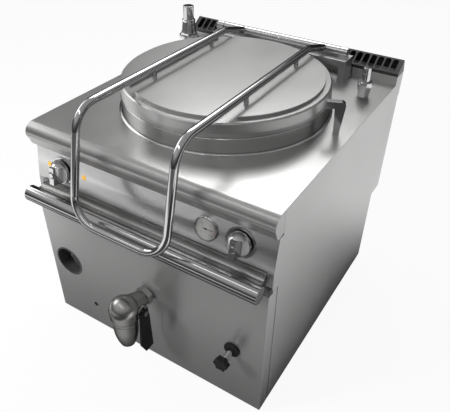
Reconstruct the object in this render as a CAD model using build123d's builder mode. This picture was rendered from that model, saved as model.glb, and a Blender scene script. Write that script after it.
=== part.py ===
from build123d import *
import math
import os

os.makedirs("parts", exist_ok=True)

# All sizes in millimetres. X runs across the unit, Y from front to back, Z up.
# The origin is on the floor under the middle of the whole unit.

# Overall body
unit_width = 800.0
body_depth = 900.0
worktop_z = 733.0
foot_gap = 10.0
sheet = 1.5
top_sheet = 2.0
flue_overhang = 6.0
spout_setback = 105.0
dome_r = 42.5
fit_gap = 0.3

half_width = unit_width / 2
panel_y = (spout_setback + dome_r - body_depth - flue_overhang) / 2
back_y = panel_y + body_depth
inner_x = half_width - sheet

# Front: lower panel, inclined control panel, rail and bullnose
tray_return = 45.0
side_gap = 4.0
nose_y = panel_y + 4.0
nose_height = 72.0
nose_depth = 48.0
panel_tilt = 9.4
control_top = worktop_z - nose_height - 2.0
control_bend = control_top - 103.0
control_foot = control_bend - 44.0
lower_panel_top = control_foot - 21.0
knob_z = control_top - 52.0
gas_knob_z = knob_z - 6.0
knob_setback = 25.8
rail_r = 24.0
rail_wall = 2.0
rail_cap = 3.0
rail_end_x = half_width - 9.0
rail_y = panel_y - 32.0
rail_z = control_foot + 11.0
cove_end_x = half_width - 20.0

# Rear: flue upstand and vent
upstand_y = back_y - 60.0
upstand_height = 28.0
vent_gap = 11.0
vent_rise = 31.0
vent_crest_y = back_y - 12.0
slot_pitch = 24.25
slot_width = 18.5
slot_count = int(unit_width // slot_pitch)
recess_depth = 72.0
recess_z = 307.0

# Kettle: the vessel is as wide as both the width and the depth of the unit allow
vessel_r = min(half_width - 100.0, body_depth / 2 - 150.0)
kettle_y = back_y - vessel_r - 162.0
vessel_wall = 2.0
vessel_floor_z = 264.0
collar_height = 48.0
collar_r = vessel_r + 13.5
collar_flare = 7.5
collar_foot_r = collar_r + collar_flare
opening_r = collar_r - 1.5
jacket_r = vessel_r + 25.0
jacket_wall = 3.0
jacket_bottom_z = vessel_floor_z - 59.0
jacket_top_z = worktop_z - 40.0
wool_thickness = 20.0
wool_bottom_z = jacket_bottom_z + 10.0
wool_top_z = jacket_top_z - 5.0
chamber_r = jacket_r - 3.0

# Lid, handle and hinge
lid_r = collar_r - 4.0
lid_skirt_r = collar_r - 1.7
lid_wall = 2.0
lid_panel_rise = 9.0
lid_panel_r = lid_r - 19.5
arm_x = 152.0
channel_half = 23.0
arm_r = 11.0
arm_z = worktop_z + 125.0
hinge_y = kettle_y + vessel_r + 67.0
hinge_z = worktop_z + 86.0
hinge_tube_r = 14.0
bearing_width = 27.0
bridge_left_x = 40.0 - vessel_r
bridge_right_x = vessel_r - 54.0
hinge_left_x = bridge_left_x + bearing_width + 1.0
hinge_right_x = bridge_right_x - bearing_width - 11.0
bridge_front_y = hinge_y - 40.0
bridge_back_y = hinge_y + 25.0
bridge_sheet = 3.0
post_width = 22.0

# Drain tap
tap_x = 3.0
tap_z = vessel_floor_z + 26.0
drain_pipe_r = 24.0
drain_bore_r = 19.0
tap_ball_y = panel_y - 69.0
ball_r = 18.0
ball_bore_r = 12.0
tap_bore_r = 13.0
elbow_r = 16.0
spout_y = panel_y - spout_setback
spout_r = 37.5
spout_tip_r = 22.0
dome_z = tap_z + 23.0
spout_bottom_z = tap_z - 114.5
lever_x = tap_x + dome_r + 2.0
lever_length = 152.0

# Level tap, sight port and gauge
level_x = jacket_r - 24.0
level_z = tap_z - 61.0
level_pipe_r = 9.0
port_x = 75.0 - half_width
port_z = 253.0
port_r = 54.0
peep_x = port_x + 91.0
peep_z = 102.0
gauge_x = vessel_r - 100.0
gauge_r = 34.5
knob_x = half_width - 100.0
bezel_r = 43.0
knob_r = 35.0
spindle_r = 5.0

# Columns and spout on the worktop
valve_x = 55.0 - half_width
valve_y = back_y - 162.0
vent_column_x = half_width - 64.0
vent_column_y = back_y - 191.0
swan_x = half_width - 42.0
swan_y = kettle_y - 2.0
stub_r = 9.0

# Services
pipe_r = 10.48
service_x = half_width - 28.0
gas_z = 90.0
hot_z = 135.0
burner_z = 125.0
burner_top = burner_z + 15.0
venturi_x = -60.0
pilot_x = -80.0
pilot_z = burner_top + 9.0

tilt = math.radians(panel_tilt)
skin = sheet / math.cos(tilt)


def panel_face_y(z):
    return panel_y + knob_setback + (z - knob_z) * math.tan(tilt)


def face_plane(x, z=knob_z):
    return Plane(origin=(x, panel_face_y(z), z), x_dir=(1, 0, 0), z_dir=(0, -math.cos(tilt), math.sin(tilt)))


gas_plane = face_plane(-knob_x, gas_knob_z)
water_plane = face_plane(knob_x)


def side_plane(x):
    return Plane.YZ.offset(x)


def front_plane(y):
    return Plane.XZ.offset(-y)


def floor_plane(z, x=0.0, y=0.0):
    return Plane(origin=(x, y, z))


def bent_sheet(points, x_from, x_to, side):
    with BuildPart() as bent:
        with BuildSketch(side_plane(x_from)):
            with BuildLine():
                Polyline(*points)
                offset(amount=sheet, side=side)
            make_face()
        extrude(amount=x_to - x_from)
    return bent.part


def rod(points, radius, bend):
    with BuildPart() as bar:
        with BuildLine() as route:
            FilletPolyline(*points, radius=bend)
        with BuildSketch(Plane(origin=route.line @ 0, z_dir=route.line % 0)):
            Circle(radius)
        sweep()
    return bar.part


# Base frame of square tube, standing on the feet
tube = 30.0
tube_wall = 2.0
frame_z = foot_gap + sheet + 0.5
frame_front = panel_y + tray_return + 8.0
frame_back = back_y - recess_depth - sheet - 1.0
frame_x = inner_x - 1.0
rail_span = vessel_r - 70.0

with BuildPart() as base_frame:
    with BuildSketch(floor_plane(frame_z)):
        with Locations((0, (frame_front + frame_back) / 2)):
            Rectangle(2 * frame_x, frame_back - frame_front)
            Rectangle(2 * (frame_x - tube), frame_back - frame_front - 2 * tube, mode=Mode.SUBTRACT)
        for x in (-rail_span, rail_span):
            with Locations((x, (frame_front + frame_back) / 2)):
                Rectangle(tube, frame_back - frame_front - tube)
    extrude(amount=tube)
    for x in (-frame_x + tube / 2, frame_x - tube / 2):
        with BuildSketch(front_plane(frame_front - 1)):
            with Locations((x, frame_z + tube / 2)):
                Rectangle(tube - 2 * tube_wall, tube - 2 * tube_wall)
        extrude(amount=-(frame_back - frame_front + 2), mode=Mode.SUBTRACT)
base_frame.part.label = "base_frame"
export_step(base_frame.part, "parts/base_frame.step")

# Levelling feet: turned pads with studs in the frame
foot_inset = 45.0
foot_places = [
    (sx * (frame_x - tube / 2 - 6.0), y)
    for sx in (-1, 1)
    for y in (frame_front + foot_inset, frame_back - foot_inset)
]
with BuildPart() as levelling_feet:
    with BuildSketch(Plane.XY):
        with Locations(*foot_places):
            Circle(17.0)
    extrude(amount=6.0)
    chamfer(levelling_feet.edges().group_by(Axis.Z)[0], 1.5)
    with BuildSketch(Plane.XY.offset(6.0)):
        with Locations(*foot_places):
            RegularPolygon(radius=8.0, side_count=6)
    extrude(amount=frame_z - 6.0)
levelling_feet.part.label = "levelling_feet"
export_step(levelling_feet.part, "parts/levelling_feet.step")

# Side panels, notched at the front for the tray and at the back for the services recess
side_front = panel_y + tray_return + side_gap
shelf_z = worktop_z - top_sheet
side_outline = [
    (side_front, foot_gap),
    (back_y - recess_depth, foot_gap),
    (back_y - recess_depth, recess_z),
    (back_y, recess_z),
    (back_y, shelf_z),
    (nose_y + nose_depth + 1.0, shelf_z),
    (nose_y + nose_depth + 1.0, control_top - sheet),
    (panel_face_y(control_top - sheet) + skin, control_top - sheet),
    (panel_face_y(control_bend) + skin, control_bend),
    (panel_y + 20.0, lower_panel_top + 2.0),
    (side_front, lower_panel_top + 2.0),
]
flange = 14.0


def side_panel(outer_x, inward):
    with BuildPart() as side:
        with BuildSketch(side_plane(outer_x)):
            Polygon(*side_outline, align=None)
        extrude(amount=inward * sheet)
        with BuildSketch(side_plane(outer_x)):
            with Locations(((side_front + back_y - recess_depth) / 2, foot_gap + sheet / 2)):
                Rectangle(back_y - recess_depth - side_front, sheet)
            with Locations((side_front + sheet / 2, (foot_gap + lower_panel_top) / 2)):
                Rectangle(sheet, lower_panel_top - foot_gap)
        extrude(amount=inward * flange)
    return side.part


with BuildPart() as left_side_panel:
    add(side_panel(-half_width, 1))
left_side_panel.part.label = "left_side_panel"
export_step(left_side_panel.part, "parts/left_side_panel.step")

with BuildPart() as right_side_panel:
    add(side_panel(half_width, -1))
right_side_panel.part.label = "right_side_panel"
export_step(right_side_panel.part, "parts/right_side_panel.step")

# Rear panel, stepped forward below for the gas and water connections
with BuildPart() as rear_panel:
    add(bent_sheet(
        [
            (back_y - recess_depth, foot_gap + sheet),
            (back_y - recess_depth, recess_z),
            (back_y, recess_z),
            (back_y, shelf_z),
        ],
        -inner_x, inner_x, Side.LEFT))
    with BuildSketch(front_plane(back_y - recess_depth - 10)):
        with Locations((-service_x, gas_z), (service_x, gas_z), (service_x, hot_z)):
            Circle(pipe_r + 1.5)
    extrude(amount=-20, mode=Mode.SUBTRACT)
rear_panel.part.label = "rear_panel"
export_step(rear_panel.part, "parts/rear_panel.step")

rear_screw_z = [foot_gap + 30.0, (foot_gap + recess_z) / 2, recess_z + 40.0, shelf_z - 70.0]
with BuildPart() as rear_screws:
    for z in rear_screw_z:
        seat_y = back_y if z > recess_z else back_y - recess_depth
        with BuildSketch(front_plane(seat_y)):
            with Locations((-inner_x + 12, z), (inner_x - 12, z)):
                Circle(5.0)
        extrude(amount=-2.5)
rear_screws.part.label = "rear_screws"
export_step(rear_screws.part, "parts/rear_screws.step")

# Lower front panel: a tray with returns, pierced for the taps, the port and the peep hole
with BuildPart() as front_panel:
    with BuildSketch(front_plane(panel_y)):
        with Locations((0, (foot_gap + lower_panel_top) / 2)):
            Rectangle(unit_width, lower_panel_top - foot_gap)
    extrude(amount=-tray_return)
    offset(amount=-sheet, openings=front_panel.faces().sort_by(Axis.Y)[-1], kind=Kind.INTERSECTION)
    with BuildSketch(front_plane(panel_y - 1)):
        with Locations((port_x, port_z)):
            Circle(port_r - 4.0)
        with Locations((peep_x, peep_z)):
            Circle(6.5)
        with Locations((level_x, level_z)):
            Circle(level_pipe_r + 3.0)
        with Locations((tap_x, tap_z)):
            Circle(drain_pipe_r + 1.0)
    extrude(amount=-(sheet + 2), mode=Mode.SUBTRACT)
front_panel.part.label = "front_panel"
export_step(front_panel.part, "parts/front_panel.step")

plate_width = 95.0
plate_rise = 40.0
plate_height = 194.0
plate_sheet = 1.0
with BuildPart() as drain_access_plate:
    with BuildSketch(front_plane(panel_y)):
        with Locations((tap_x, tap_z + plate_rise - plate_height / 2)):
            RectangleRounded(plate_width, plate_height, 3.0)
        with Locations((tap_x, tap_z)):
            Circle(drain_pipe_r + 1.0, mode=Mode.SUBTRACT)
    extrude(amount=plate_sheet)
drain_access_plate.part.label = "drain_access_plate"
export_step(drain_access_plate.part, "parts/drain_access_plate.step")

# Control panel: one bent sheet, inclined face above and a lip over the tray below
with BuildPart() as control_panel:
    add(bent_sheet(
        [
            (panel_y + 30.0, lower_panel_top + 0.2),
            (panel_y + 2.0, lower_panel_top + 0.2),
            (panel_y + 15.0, control_foot),
            (panel_face_y(control_bend), control_bend),
            (panel_face_y(control_top), control_top),
            (nose_y + nose_depth - 2.0, control_top),
        ],
        -half_width, half_width, Side.RIGHT))
    for plane in (gas_plane, water_plane):
        with BuildSketch(plane.offset(5)):
            Circle(spindle_r + 2.0)
        extrude(amount=-10, mode=Mode.SUBTRACT)
    with BuildSketch(face_plane(gauge_x).offset(5)):
        Circle(gauge_r - 5.0)
    extrude(amount=-10, mode=Mode.SUBTRACT)
control_panel.part.label = "control_panel"
export_step(control_panel.part, "parts/control_panel.step")

# Concave gutter strip between the control panel and the rail
cove_top_z = rail_z + 26.0
cove_y = panel_face_y(cove_top_z) - sheet - 0.6
cove_r = 17.0
with BuildPart() as rail_cove:
    with BuildSketch(side_plane(-cove_end_x)):
        with BuildLine():
            drop = Line((cove_y, cove_top_z + 6.0), (cove_y, cove_top_z))
            sweep_in = RadiusArc(drop @ 1, (cove_y - cove_r, cove_top_z - cove_r), cove_r)
            Line(sweep_in @ 1, (cove_y - cove_r - 8.0, cove_top_z - cove_r))
            offset(amount=sheet, side=Side.RIGHT)
        make_face()
    extrude(amount=2 * cove_end_x)
    with BuildSketch(side_plane(-half_width)):
        with Locations((rail_y, rail_z)):
            Circle(rail_r + fit_gap)
    extrude(amount=unit_width, mode=Mode.SUBTRACT)
rail_cove.part.label = "rail_cove"
export_step(rail_cove.part, "parts/rail_cove.step")

# Front rail: a bumper tube with welded end caps, and brackets to the control panel
with BuildPart() as front_rail:
    with BuildSketch(side_plane(-rail_end_x)):
        with Locations((rail_y, rail_z)):
            Circle(rail_r)
    extrude(amount=2 * rail_end_x)
    with BuildSketch(side_plane(-rail_end_x + rail_cap)):
        with Locations((rail_y, rail_z)):
            Circle(rail_r - rail_wall)
    extrude(amount=2 * (rail_end_x - rail_cap), mode=Mode.SUBTRACT)
front_rail.part.label = "front_rail"
export_step(front_rail.part, "parts/front_rail.step")

bracket_width = 8.0
with BuildPart() as rail_brackets:
    for x in (-rail_end_x + 14.0, -bracket_width / 2, rail_end_x - 14.0 - bracket_width):
        with BuildSketch(side_plane(x)):
            Polygon(
                (rail_y, rail_z - 14.0),
                (rail_y, rail_z + 6.0),
                (panel_y + 16.0, rail_z + 2.0),
                (panel_y + 14.6, control_foot),
                (panel_y + 9.0, rail_z - 20.0),
                align=None)
            with Locations((rail_y, rail_z)):
                Circle(rail_r + 0.1, mode=Mode.SUBTRACT)
        extrude(amount=bracket_width)
    with BuildSketch(side_plane(-half_width)):
        Polygon(
            (panel_y + 2.0, lower_panel_top),
            (panel_y + 15.0 - 0.1, control_foot),
            (panel_face_y(control_bend) - 0.1, control_bend),
            (panel_y + 60.0, control_bend),
            (panel_y + 60.0, lower_panel_top),
            align=None)
    extrude(amount=unit_width, mode=Mode.SUBTRACT)
rail_brackets.part.label = "rail_brackets"
export_step(rail_brackets.part, "parts/rail_brackets.step")

# Worktop: pressed sheet with a hollow bullnose, a round opening and closed nose ends
nose_back = nose_y + nose_depth
nose_low = worktop_z - nose_height


def nose_outline(inset):
    with BuildLine() as outline:
        top = Line((nose_back - inset, worktop_z - inset), (nose_y + 30.0, worktop_z - inset))
        brow = TangentArc(top @ 1, (nose_y + inset, worktop_z - 28.0), tangent=top % 1)
        chin = Spline(
            brow @ 1,
            (nose_y + 9.0 + inset, worktop_z - 52.0),
            (nose_y + 26.0, nose_low + inset),
            tangents=((0, -1), (1, 0)))
        Line(chin @ 1, (nose_back - inset, nose_low + 4.0 + inset))
        Line((nose_back - inset, nose_low + 4.0 + inset), top @ 0)
    return outline.line


with BuildPart() as worktop:
    with BuildSketch(side_plane(-half_width)):
        with BuildLine():
            add(nose_outline(0))
        make_face()
    extrude(amount=unit_width)
    with BuildSketch(side_plane(-inner_x)):
        with BuildLine():
            add(nose_outline(top_sheet))
        make_face()
    extrude(amount=2 * inner_x, mode=Mode.SUBTRACT)
    with BuildSketch(floor_plane(shelf_z)):
        with Locations((0, (nose_back + upstand_y) / 2)):
            Rectangle(unit_width, upstand_y - nose_back)
    extrude(amount=top_sheet)
    with BuildSketch(floor_plane(shelf_z)):
        with Locations((0, kettle_y)):
            Circle(opening_r)
        with Locations((valve_x, valve_y), (vent_column_x, vent_column_y), (swan_x, swan_y)):
            Circle(stub_r + 0.5)
    extrude(amount=top_sheet, mode=Mode.SUBTRACT)
worktop.part.label = "worktop"
export_step(worktop.part, "parts/worktop.step")

# Collar with a flared foot, carrying the rim of the vessel
with BuildPart() as kettle_collar:
    with BuildSketch(Plane(origin=(0, kettle_y, 0), x_dir=(1, 0, 0), z_dir=(0, -1, 0))):
        with BuildLine():
            foot = Line((opening_r - 1.0, worktop_z), (collar_foot_r, worktop_z))
            flare = RadiusArc(foot @ 1, (collar_r, worktop_z + collar_flare), collar_flare)
            wall = Line(flare @ 1, (collar_r - 0.7, worktop_z + collar_height - 1.5))
            Polyline(
                wall @ 1,
                (collar_r - 2.0, worktop_z + collar_height),
                (opening_r - 1.0, worktop_z + collar_height),
                foot @ 0)
        make_face()
    revolve(axis=Axis((0, kettle_y, 0), (0, 0, 1)))
kettle_collar.part.label = "kettle_collar"
export_step(kettle_collar.part, "parts/kettle_collar.step")

# Deep-drawn vessel with a turned rim and the drain outlet low in its front wall
rim_z = worktop_z + collar_height
kettle_section = Plane(origin=(0, kettle_y, 0), x_dir=(1, 0, 0), z_dir=(0, -1, 0))
kettle_axis = Axis((0, kettle_y, 0), (0, 0, 1))
dish = 4.0
corner_r = 22.0


def bowl_form(shell, top):
    with BuildPart() as form:
        with BuildSketch(kettle_section):
            with BuildLine():
                base = Line((0, vessel_floor_z - dish - shell), (vessel_r - corner_r, vessel_floor_z - shell))
                corner = TangentArc(
                    base @ 1, (vessel_r + shell, vessel_floor_z + corner_r), tangent=(1, 0))
                Polyline(corner @ 1, (vessel_r + shell, top), (0, top), base @ 0)
            make_face()
        revolve(axis=kettle_axis)
    return form.part


vessel_cavity = bowl_form(0, rim_z + 10.0)
vessel_outside = bowl_form(vessel_wall, rim_z + vessel_wall)
with BuildPart() as vessel:
    add(vessel_outside)
    with BuildSketch(floor_plane(rim_z)):
        with Locations((0, kettle_y)):
            Circle(collar_r - 1.5)
    extrude(amount=vessel_wall)
    add(vessel_cavity, mode=Mode.SUBTRACT)
    with BuildSketch(front_plane(kettle_y - vessel_r - 10)):
        with Locations((tap_x, tap_z)):
            Circle(drain_bore_r)
    extrude(amount=-60, mode=Mode.SUBTRACT)
vessel.part.label = "vessel"
export_step(vessel.part, "parts/vessel.step")

# Perforated strainer that hooks over the drain outlet
with BuildPart() as drain_strainer:
    with BuildSketch(front_plane(kettle_y - vessel_r + 14.0)):
        with Locations((tap_x, tap_z + 8.0)):
            RectangleRounded(70.0, 62.0, 8.0)
        with Locations((tap_x, tap_z + 8.0)):
            with GridLocations(11.0, 11.0, 5, 4):
                Circle(3.2, mode=Mode.SUBTRACT)
    extrude(amount=-1.5)
    with BuildSketch(front_plane(kettle_y - vessel_r + 14.0)):
        with Locations((tap_x - 32.0, tap_z + 8.0), (tap_x + 32.0, tap_z + 8.0)):
            Rectangle(4.0, 46.0)
    extrude(amount=20.0)
    add(vessel_cavity, mode=Mode.INTERSECT)
drain_strainer.part.label = "drain_strainer"
export_step(drain_strainer.part, "parts/drain_strainer.step")


def radial_plane(x, y, z):
    away = Vector(x, y - kettle_y, 0).normalized()
    return Plane(origin=(0, kettle_y, z), z_dir=away)


column_z = worktop_z - 83.0
valve_span = math.hypot(valve_x, valve_y - kettle_y)
vent_span = math.hypot(vent_column_x, vent_column_y - kettle_y)
capillary_r = 2.5
capillary_z = knob_z - 4.0


def pipe_passages(clearance):
    with BuildPart() as passages:
        with BuildSketch(front_plane(kettle_y - jacket_r + 30)):
            with Locations((tap_x, tap_z)):
                Circle(drain_pipe_r + clearance)
        extrude(amount=80)
        with BuildSketch(front_plane(kettle_y - 60)):
            with Locations((level_x, level_z)):
                Circle(level_pipe_r + clearance)
            with Locations((gauge_x, capillary_z)):
                Circle(capillary_r + clearance)
        extrude(amount=jacket_r)
        for x, y in ((valve_x, valve_y), (vent_column_x, vent_column_y)):
            with BuildSketch(radial_plane(x, y, column_z).offset(vessel_r + 8)):
                Circle(stub_r + clearance)
            extrude(amount=60)
    return passages.part


# Jacket: the water and steam space round the vessel
with BuildPart() as jacket:
    with BuildSketch(kettle_section):
        with BuildLine():
            Polyline(
                (0, jacket_bottom_z), (jacket_r, jacket_bottom_z), (jacket_r, jacket_top_z),
                (vessel_r + vessel_wall + 0.2, jacket_top_z),
                (vessel_r + vessel_wall + 0.2, jacket_top_z - jacket_wall),
                (jacket_r - jacket_wall, jacket_top_z - jacket_wall),
                (jacket_r - jacket_wall, jacket_bottom_z + jacket_wall),
                (0, jacket_bottom_z + jacket_wall), close=True)
        make_face()
    revolve(axis=kettle_axis)
    add(pipe_passages(0), mode=Mode.SUBTRACT)
jacket.part.label = "jacket"
export_step(jacket.part, "parts/jacket.step")

with BuildPart() as insulation_band:
    with BuildSketch(floor_plane(wool_bottom_z)):
        with Locations((0, kettle_y)):
            Circle(jacket_r + fit_gap + wool_thickness)
            Circle(jacket_r + fit_gap, mode=Mode.SUBTRACT)
    extrude(amount=wool_top_z - wool_bottom_z)
    add(pipe_passages(2.0), mode=Mode.SUBTRACT)
insulation_band.part.label = "insulation_band"
export_step(insulation_band.part, "parts/insulation_band.step")

# Combustion chamber: the drum under the jacket, with air slots and a flue port at the back
flue_half = vessel_r * 0.6
flue_port_z = 150.0
flue_port_top = jacket_bottom_z - 7.0
with BuildPart() as combustion_chamber:
    with BuildSketch(floor_plane(frame_z + tube)):
        with Locations((0, kettle_y)):
            Circle(chamber_r)
            Circle(chamber_r - 2.0, mode=Mode.SUBTRACT)
    extrude(amount=jacket_bottom_z - frame_z - tube)
    with BuildSketch(front_plane(kettle_y)):
        with Locations((0, (flue_port_z + flue_port_top) / 2)):
            Rectangle(2 * flue_half - 60, flue_port_top - flue_port_z - 6)
    extrude(amount=-jacket_r - 20, mode=Mode.SUBTRACT)
    with BuildSketch(front_plane(kettle_y)):
        with Locations((venturi_x, burner_z)):
            Circle(30.0)
        with Locations((pilot_x, pilot_z)):
            Circle(6.0)
        with Locations(*[(x, frame_z + tube + 16.0) for x in (-180.0, -60.0, 60.0, 180.0)]):
            Rectangle(60.0, 12.0)
    extrude(amount=jacket_r + 20, mode=Mode.SUBTRACT)
combustion_chamber.part.label = "combustion_chamber"
export_step(combustion_chamber.part, "parts/combustion_chamber.step")

# Flue duct from the chamber port up to the vent
duct_front = kettle_y + jacket_r + fit_gap + wool_thickness + 3.0
duct_back = back_y - sheet - 4.0
recess_back = back_y - recess_depth - sheet - 2.0
duct_top = worktop_z + upstand_height - 3.0
chamber_back = kettle_y + chamber_r
with BuildPart() as flue_duct:
    with BuildSketch(side_plane(-flue_half)):
        Polygon(
            (chamber_back - 70.0, flue_port_z), (recess_back, flue_port_z), (recess_back, recess_z + 6.0),
            (duct_back, recess_z + 44.0), (duct_back, duct_top), (upstand_y + sheet + 2.0, duct_top),
            (upstand_y + sheet + 2.0, shelf_z - 4.0), (duct_front, wool_top_z),
            (duct_front, flue_port_top), (chamber_back - 70.0, flue_port_top), align=None)
    extrude(amount=2 * flue_half)
    offset(
        amount=-sheet,
        openings=[flue_duct.faces().sort_by(Axis.Z)[-1], flue_duct.faces().sort_by(Axis.Y)[0]],
        kind=Kind.INTERSECTION)
    with BuildSketch(floor_plane(flue_port_z - 5.0, 0, kettle_y)):
        Circle(chamber_r)
    extrude(amount=flue_port_top - flue_port_z + 10.0, mode=Mode.SUBTRACT)
flue_duct.part.label = "flue_duct"
export_step(flue_duct.part, "parts/flue_duct.step")

# Upstand behind the worktop, lapping over the back of the body
lap_z = worktop_z - 55.0
upstand_top = worktop_z + upstand_height
upstand_back = back_y + flue_overhang
with BuildPart() as rear_upstand:
    with BuildSketch(floor_plane(shelf_z)):
        with Locations((0, (upstand_y + upstand_back) / 2)):
            Rectangle(unit_width, upstand_back - upstand_y)
            Rectangle(unit_width - 2 * sheet, upstand_back - upstand_y - 2 * sheet, mode=Mode.SUBTRACT)
    extrude(amount=upstand_top - shelf_z)
    with BuildSketch(floor_plane(lap_z)):
        with Locations((0, (back_y + upstand_back) / 2 + 0.1)):
            Rectangle(unit_width, flue_overhang - 0.2)
    extrude(amount=shelf_z - lap_z)
rear_upstand.part.label = "rear_upstand"
export_step(rear_upstand.part, "parts/rear_upstand.step")

# Vent: a slotted, sloping cover closed at both ends
vent_foot = upstand_top + vent_gap
vent_crest = vent_foot + vent_rise
vent_run = vent_crest_y - upstand_y
vent_slope = math.atan2(vent_rise, vent_run)
vent_length = math.hypot(vent_rise, vent_run)
with BuildPart() as vent_grille:
    with BuildSketch(side_plane(-half_width)):
        Polygon(
            (upstand_y + 2.0, upstand_top), (upstand_y + 2.0, vent_foot - 4.0), (upstand_y, vent_foot - 4.0),
            (upstand_y, vent_foot), (vent_crest_y, vent_crest), (upstand_back, upstand_top), align=None)
    extrude(amount=unit_width)
    offset(amount=-sheet, openings=vent_grille.faces().sort_by(Axis.Z)[0], kind=Kind.INTERSECTION)
    slope = Plane(
        origin=(0, (upstand_y + vent_crest_y) / 2, (vent_foot + vent_crest) / 2),
        x_dir=(1, 0, 0), z_dir=(0, -math.sin(vent_slope), math.cos(vent_slope)))
    with BuildSketch(slope):
        with GridLocations(slot_pitch, 1.0, slot_count, 1):
            RectangleRounded(slot_width, vent_length - 10.0, 8.0)
    extrude(amount=-3 * sheet, both=True, mode=Mode.SUBTRACT)
vent_grille.part.label = "vent_grille"
export_step(vent_grille.part, "parts/vent_grille.step")

# Burner: three tubes on a square manifold, with a venturi reaching out of the chamber
burner_span = rail_span - 90.0
burner_r = 17.0
manifold_y = kettle_y - vessel_r + 100.0
gas_line_y = panel_y + 60.0
with BuildPart() as burner:
    with BuildSketch(front_plane(manifold_y + 15.0)):
        with Locations(*[(x, burner_z) for x in (-burner_span, 0, burner_span)]):
            Circle(burner_r)
    extrude(amount=-400)
    with BuildSketch(floor_plane(burner_z + 12.0)):
        with Locations(*[(x, kettle_y + 10.0) for x in (-burner_span, 0, burner_span)]):
            with GridLocations(1.0, 36.0, 1, 10):
                Rectangle(14.0, 3.0)
    extrude(amount=10, mode=Mode.SUBTRACT)
    with BuildSketch(side_plane(-rail_span)):
        with Locations((manifold_y, burner_z)):
            Rectangle(30.0, 30.0)
    extrude(amount=2 * rail_span)
    with BuildSketch(front_plane(manifold_y)):
        with Locations((venturi_x, burner_z)):
            Circle(14.0)
    extrude(amount=manifold_y - gas_line_y - 34.0)
    with BuildSketch(front_plane(gas_line_y + 34.0)):
        with Locations((venturi_x, burner_z)):
            Circle(22.0)
    extrude(amount=-40.0, taper=11.0)
    with BuildSketch(front_plane(gas_line_y + 30.0)):
        with Locations((venturi_x, burner_z)):
            Circle(11.0)
    extrude(amount=-(manifold_y - gas_line_y - 30.0), mode=Mode.SUBTRACT)
    with BuildSketch(side_plane(-rail_span + 12.0)):
        with Locations((manifold_y, burner_z)):
            Rectangle(26.0, 26.0)
    extrude(amount=2 * rail_span - 24.0, mode=Mode.SUBTRACT)
    for x in (-rail_span, rail_span - 4.0):
        with BuildSketch(side_plane(x)):
            with Locations((manifold_y, (frame_z + tube + burner_top) / 2)):
                Rectangle(24.0, burner_top - frame_z - tube)
        extrude(amount=4.0)
burner.part.label = "burner"
export_step(burner.part, "parts/burner.step")

# Gas and water valves behind the control panel, their bodies square to the sloping face
valve_depth = 60.0
spindle_reach = 20.0


def valve_block(plane, blind):
    with BuildPart() as block:
        with BuildSketch(plane.offset(-sheet)):
            RectangleRounded(56.0, 48.0, 6.0)
        extrude(amount=-valve_depth)
        with BuildSketch(plane.offset(-sheet - valve_depth)):
            Circle(18.0)
        extrude(amount=-6.0)
        with BuildSketch(plane):
            Circle(spindle_r + 0.05)
        extrude(amount=-blind, mode=Mode.SUBTRACT)
    return block.part


gas_block = valve_block(gas_plane, spindle_reach + 8.0)
water_block = valve_block(water_plane, spindle_reach + 3.0)
with BuildPart() as gas_valve:
    add(gas_block)
gas_valve.part.label = "gas_valve"
export_step(gas_valve.part, "parts/gas_valve.step")

with BuildPart() as water_valve:
    add(water_block)
water_valve.part.label = "water_valve"
export_step(water_valve.part, "parts/water_valve.step")

gas_port_z = (gas_plane.origin - gas_plane.z_dir * 35.0).Z
water_port_z = (water_plane.origin - water_plane.z_dir * 35.0).Z
inlet_end_y = back_y - recess_depth + 30.0


def pipe(points, radius, bend, wall):
    with BuildPart() as line:
        add(rod(points, radius, bend))
        with BuildLine() as route:
            FilletPolyline(*points, radius=bend)
        with BuildSketch(Plane(origin=route.line @ 0, z_dir=route.line % 0)):
            Circle(radius - wall)
        sweep(mode=Mode.SUBTRACT)
    return line.part


def inlet_pipe(x, z, points):
    with BuildPart() as line:
        add(pipe([(x, inlet_end_y, z)] + points, pipe_r - 2.0, 22.0, 1.5))
        with BuildSketch(front_plane(inlet_end_y)):
            with Locations((x, z)):
                Circle(pipe_r)
                Circle(pipe_r - 3.5, mode=Mode.SUBTRACT)
        extrude(amount=26.0)
    return line.part


with BuildPart() as gas_pipes:
    add(inlet_pipe(-service_x, gas_z, [
        (-service_x, gas_line_y, gas_z),
        (-service_x, gas_line_y, gas_port_z),
        (-knob_x - 24.0, gas_line_y, gas_port_z),
    ]))
    add(pipe(
        [
            (-knob_x, gas_line_y, gas_port_z - 20.0),
            (-knob_x, gas_line_y, burner_z),
            (venturi_x, gas_line_y, burner_z),
            (venturi_x, gas_line_y + 26.0, burner_z),
        ],
        6.0, 18.0, 1.2))
    add(gas_block, mode=Mode.SUBTRACT)
gas_pipes.part.label = "gas_pipes"
export_step(gas_pipes.part, "parts/gas_pipes.step")

# Pilot burner on a bracket over the manifold, with its thin gas pipe
with BuildPart() as pilot_burner:
    with BuildSketch(floor_plane(burner_top)):
        with Locations((pilot_x, manifold_y + 4.0)):
            Rectangle(16.0, 34.0)
    extrude(amount=2.0)
    with BuildSketch(floor_plane(burner_top + 2.0)):
        with Locations((pilot_x, manifold_y + 13.0)):
            Rectangle(14.0, 14.0)
    extrude(amount=14.0)
    with BuildSketch(floor_plane(burner_top + 16.0)):
        with Locations((pilot_x - 3.0, manifold_y + 13.0), (pilot_x + 4.0, manifold_y + 13.0)):
            Circle(2.0)
    extrude(amount=12.0)
    add(rod(
        [
            (-knob_x + 18.0, gas_line_y + 8.0, gas_port_z - 20.0),
            (-knob_x + 18.0, gas_line_y + 8.0, pilot_z),
            (pilot_x, gas_line_y + 8.0, pilot_z),
            (pilot_x, manifold_y + 8.0, pilot_z),
        ],
        2.5, 12.0))
    add(gas_block, mode=Mode.SUBTRACT)
pilot_burner.part.label = "pilot_burner"
export_step(pilot_burner.part, "parts/pilot_burner.step")

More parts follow.
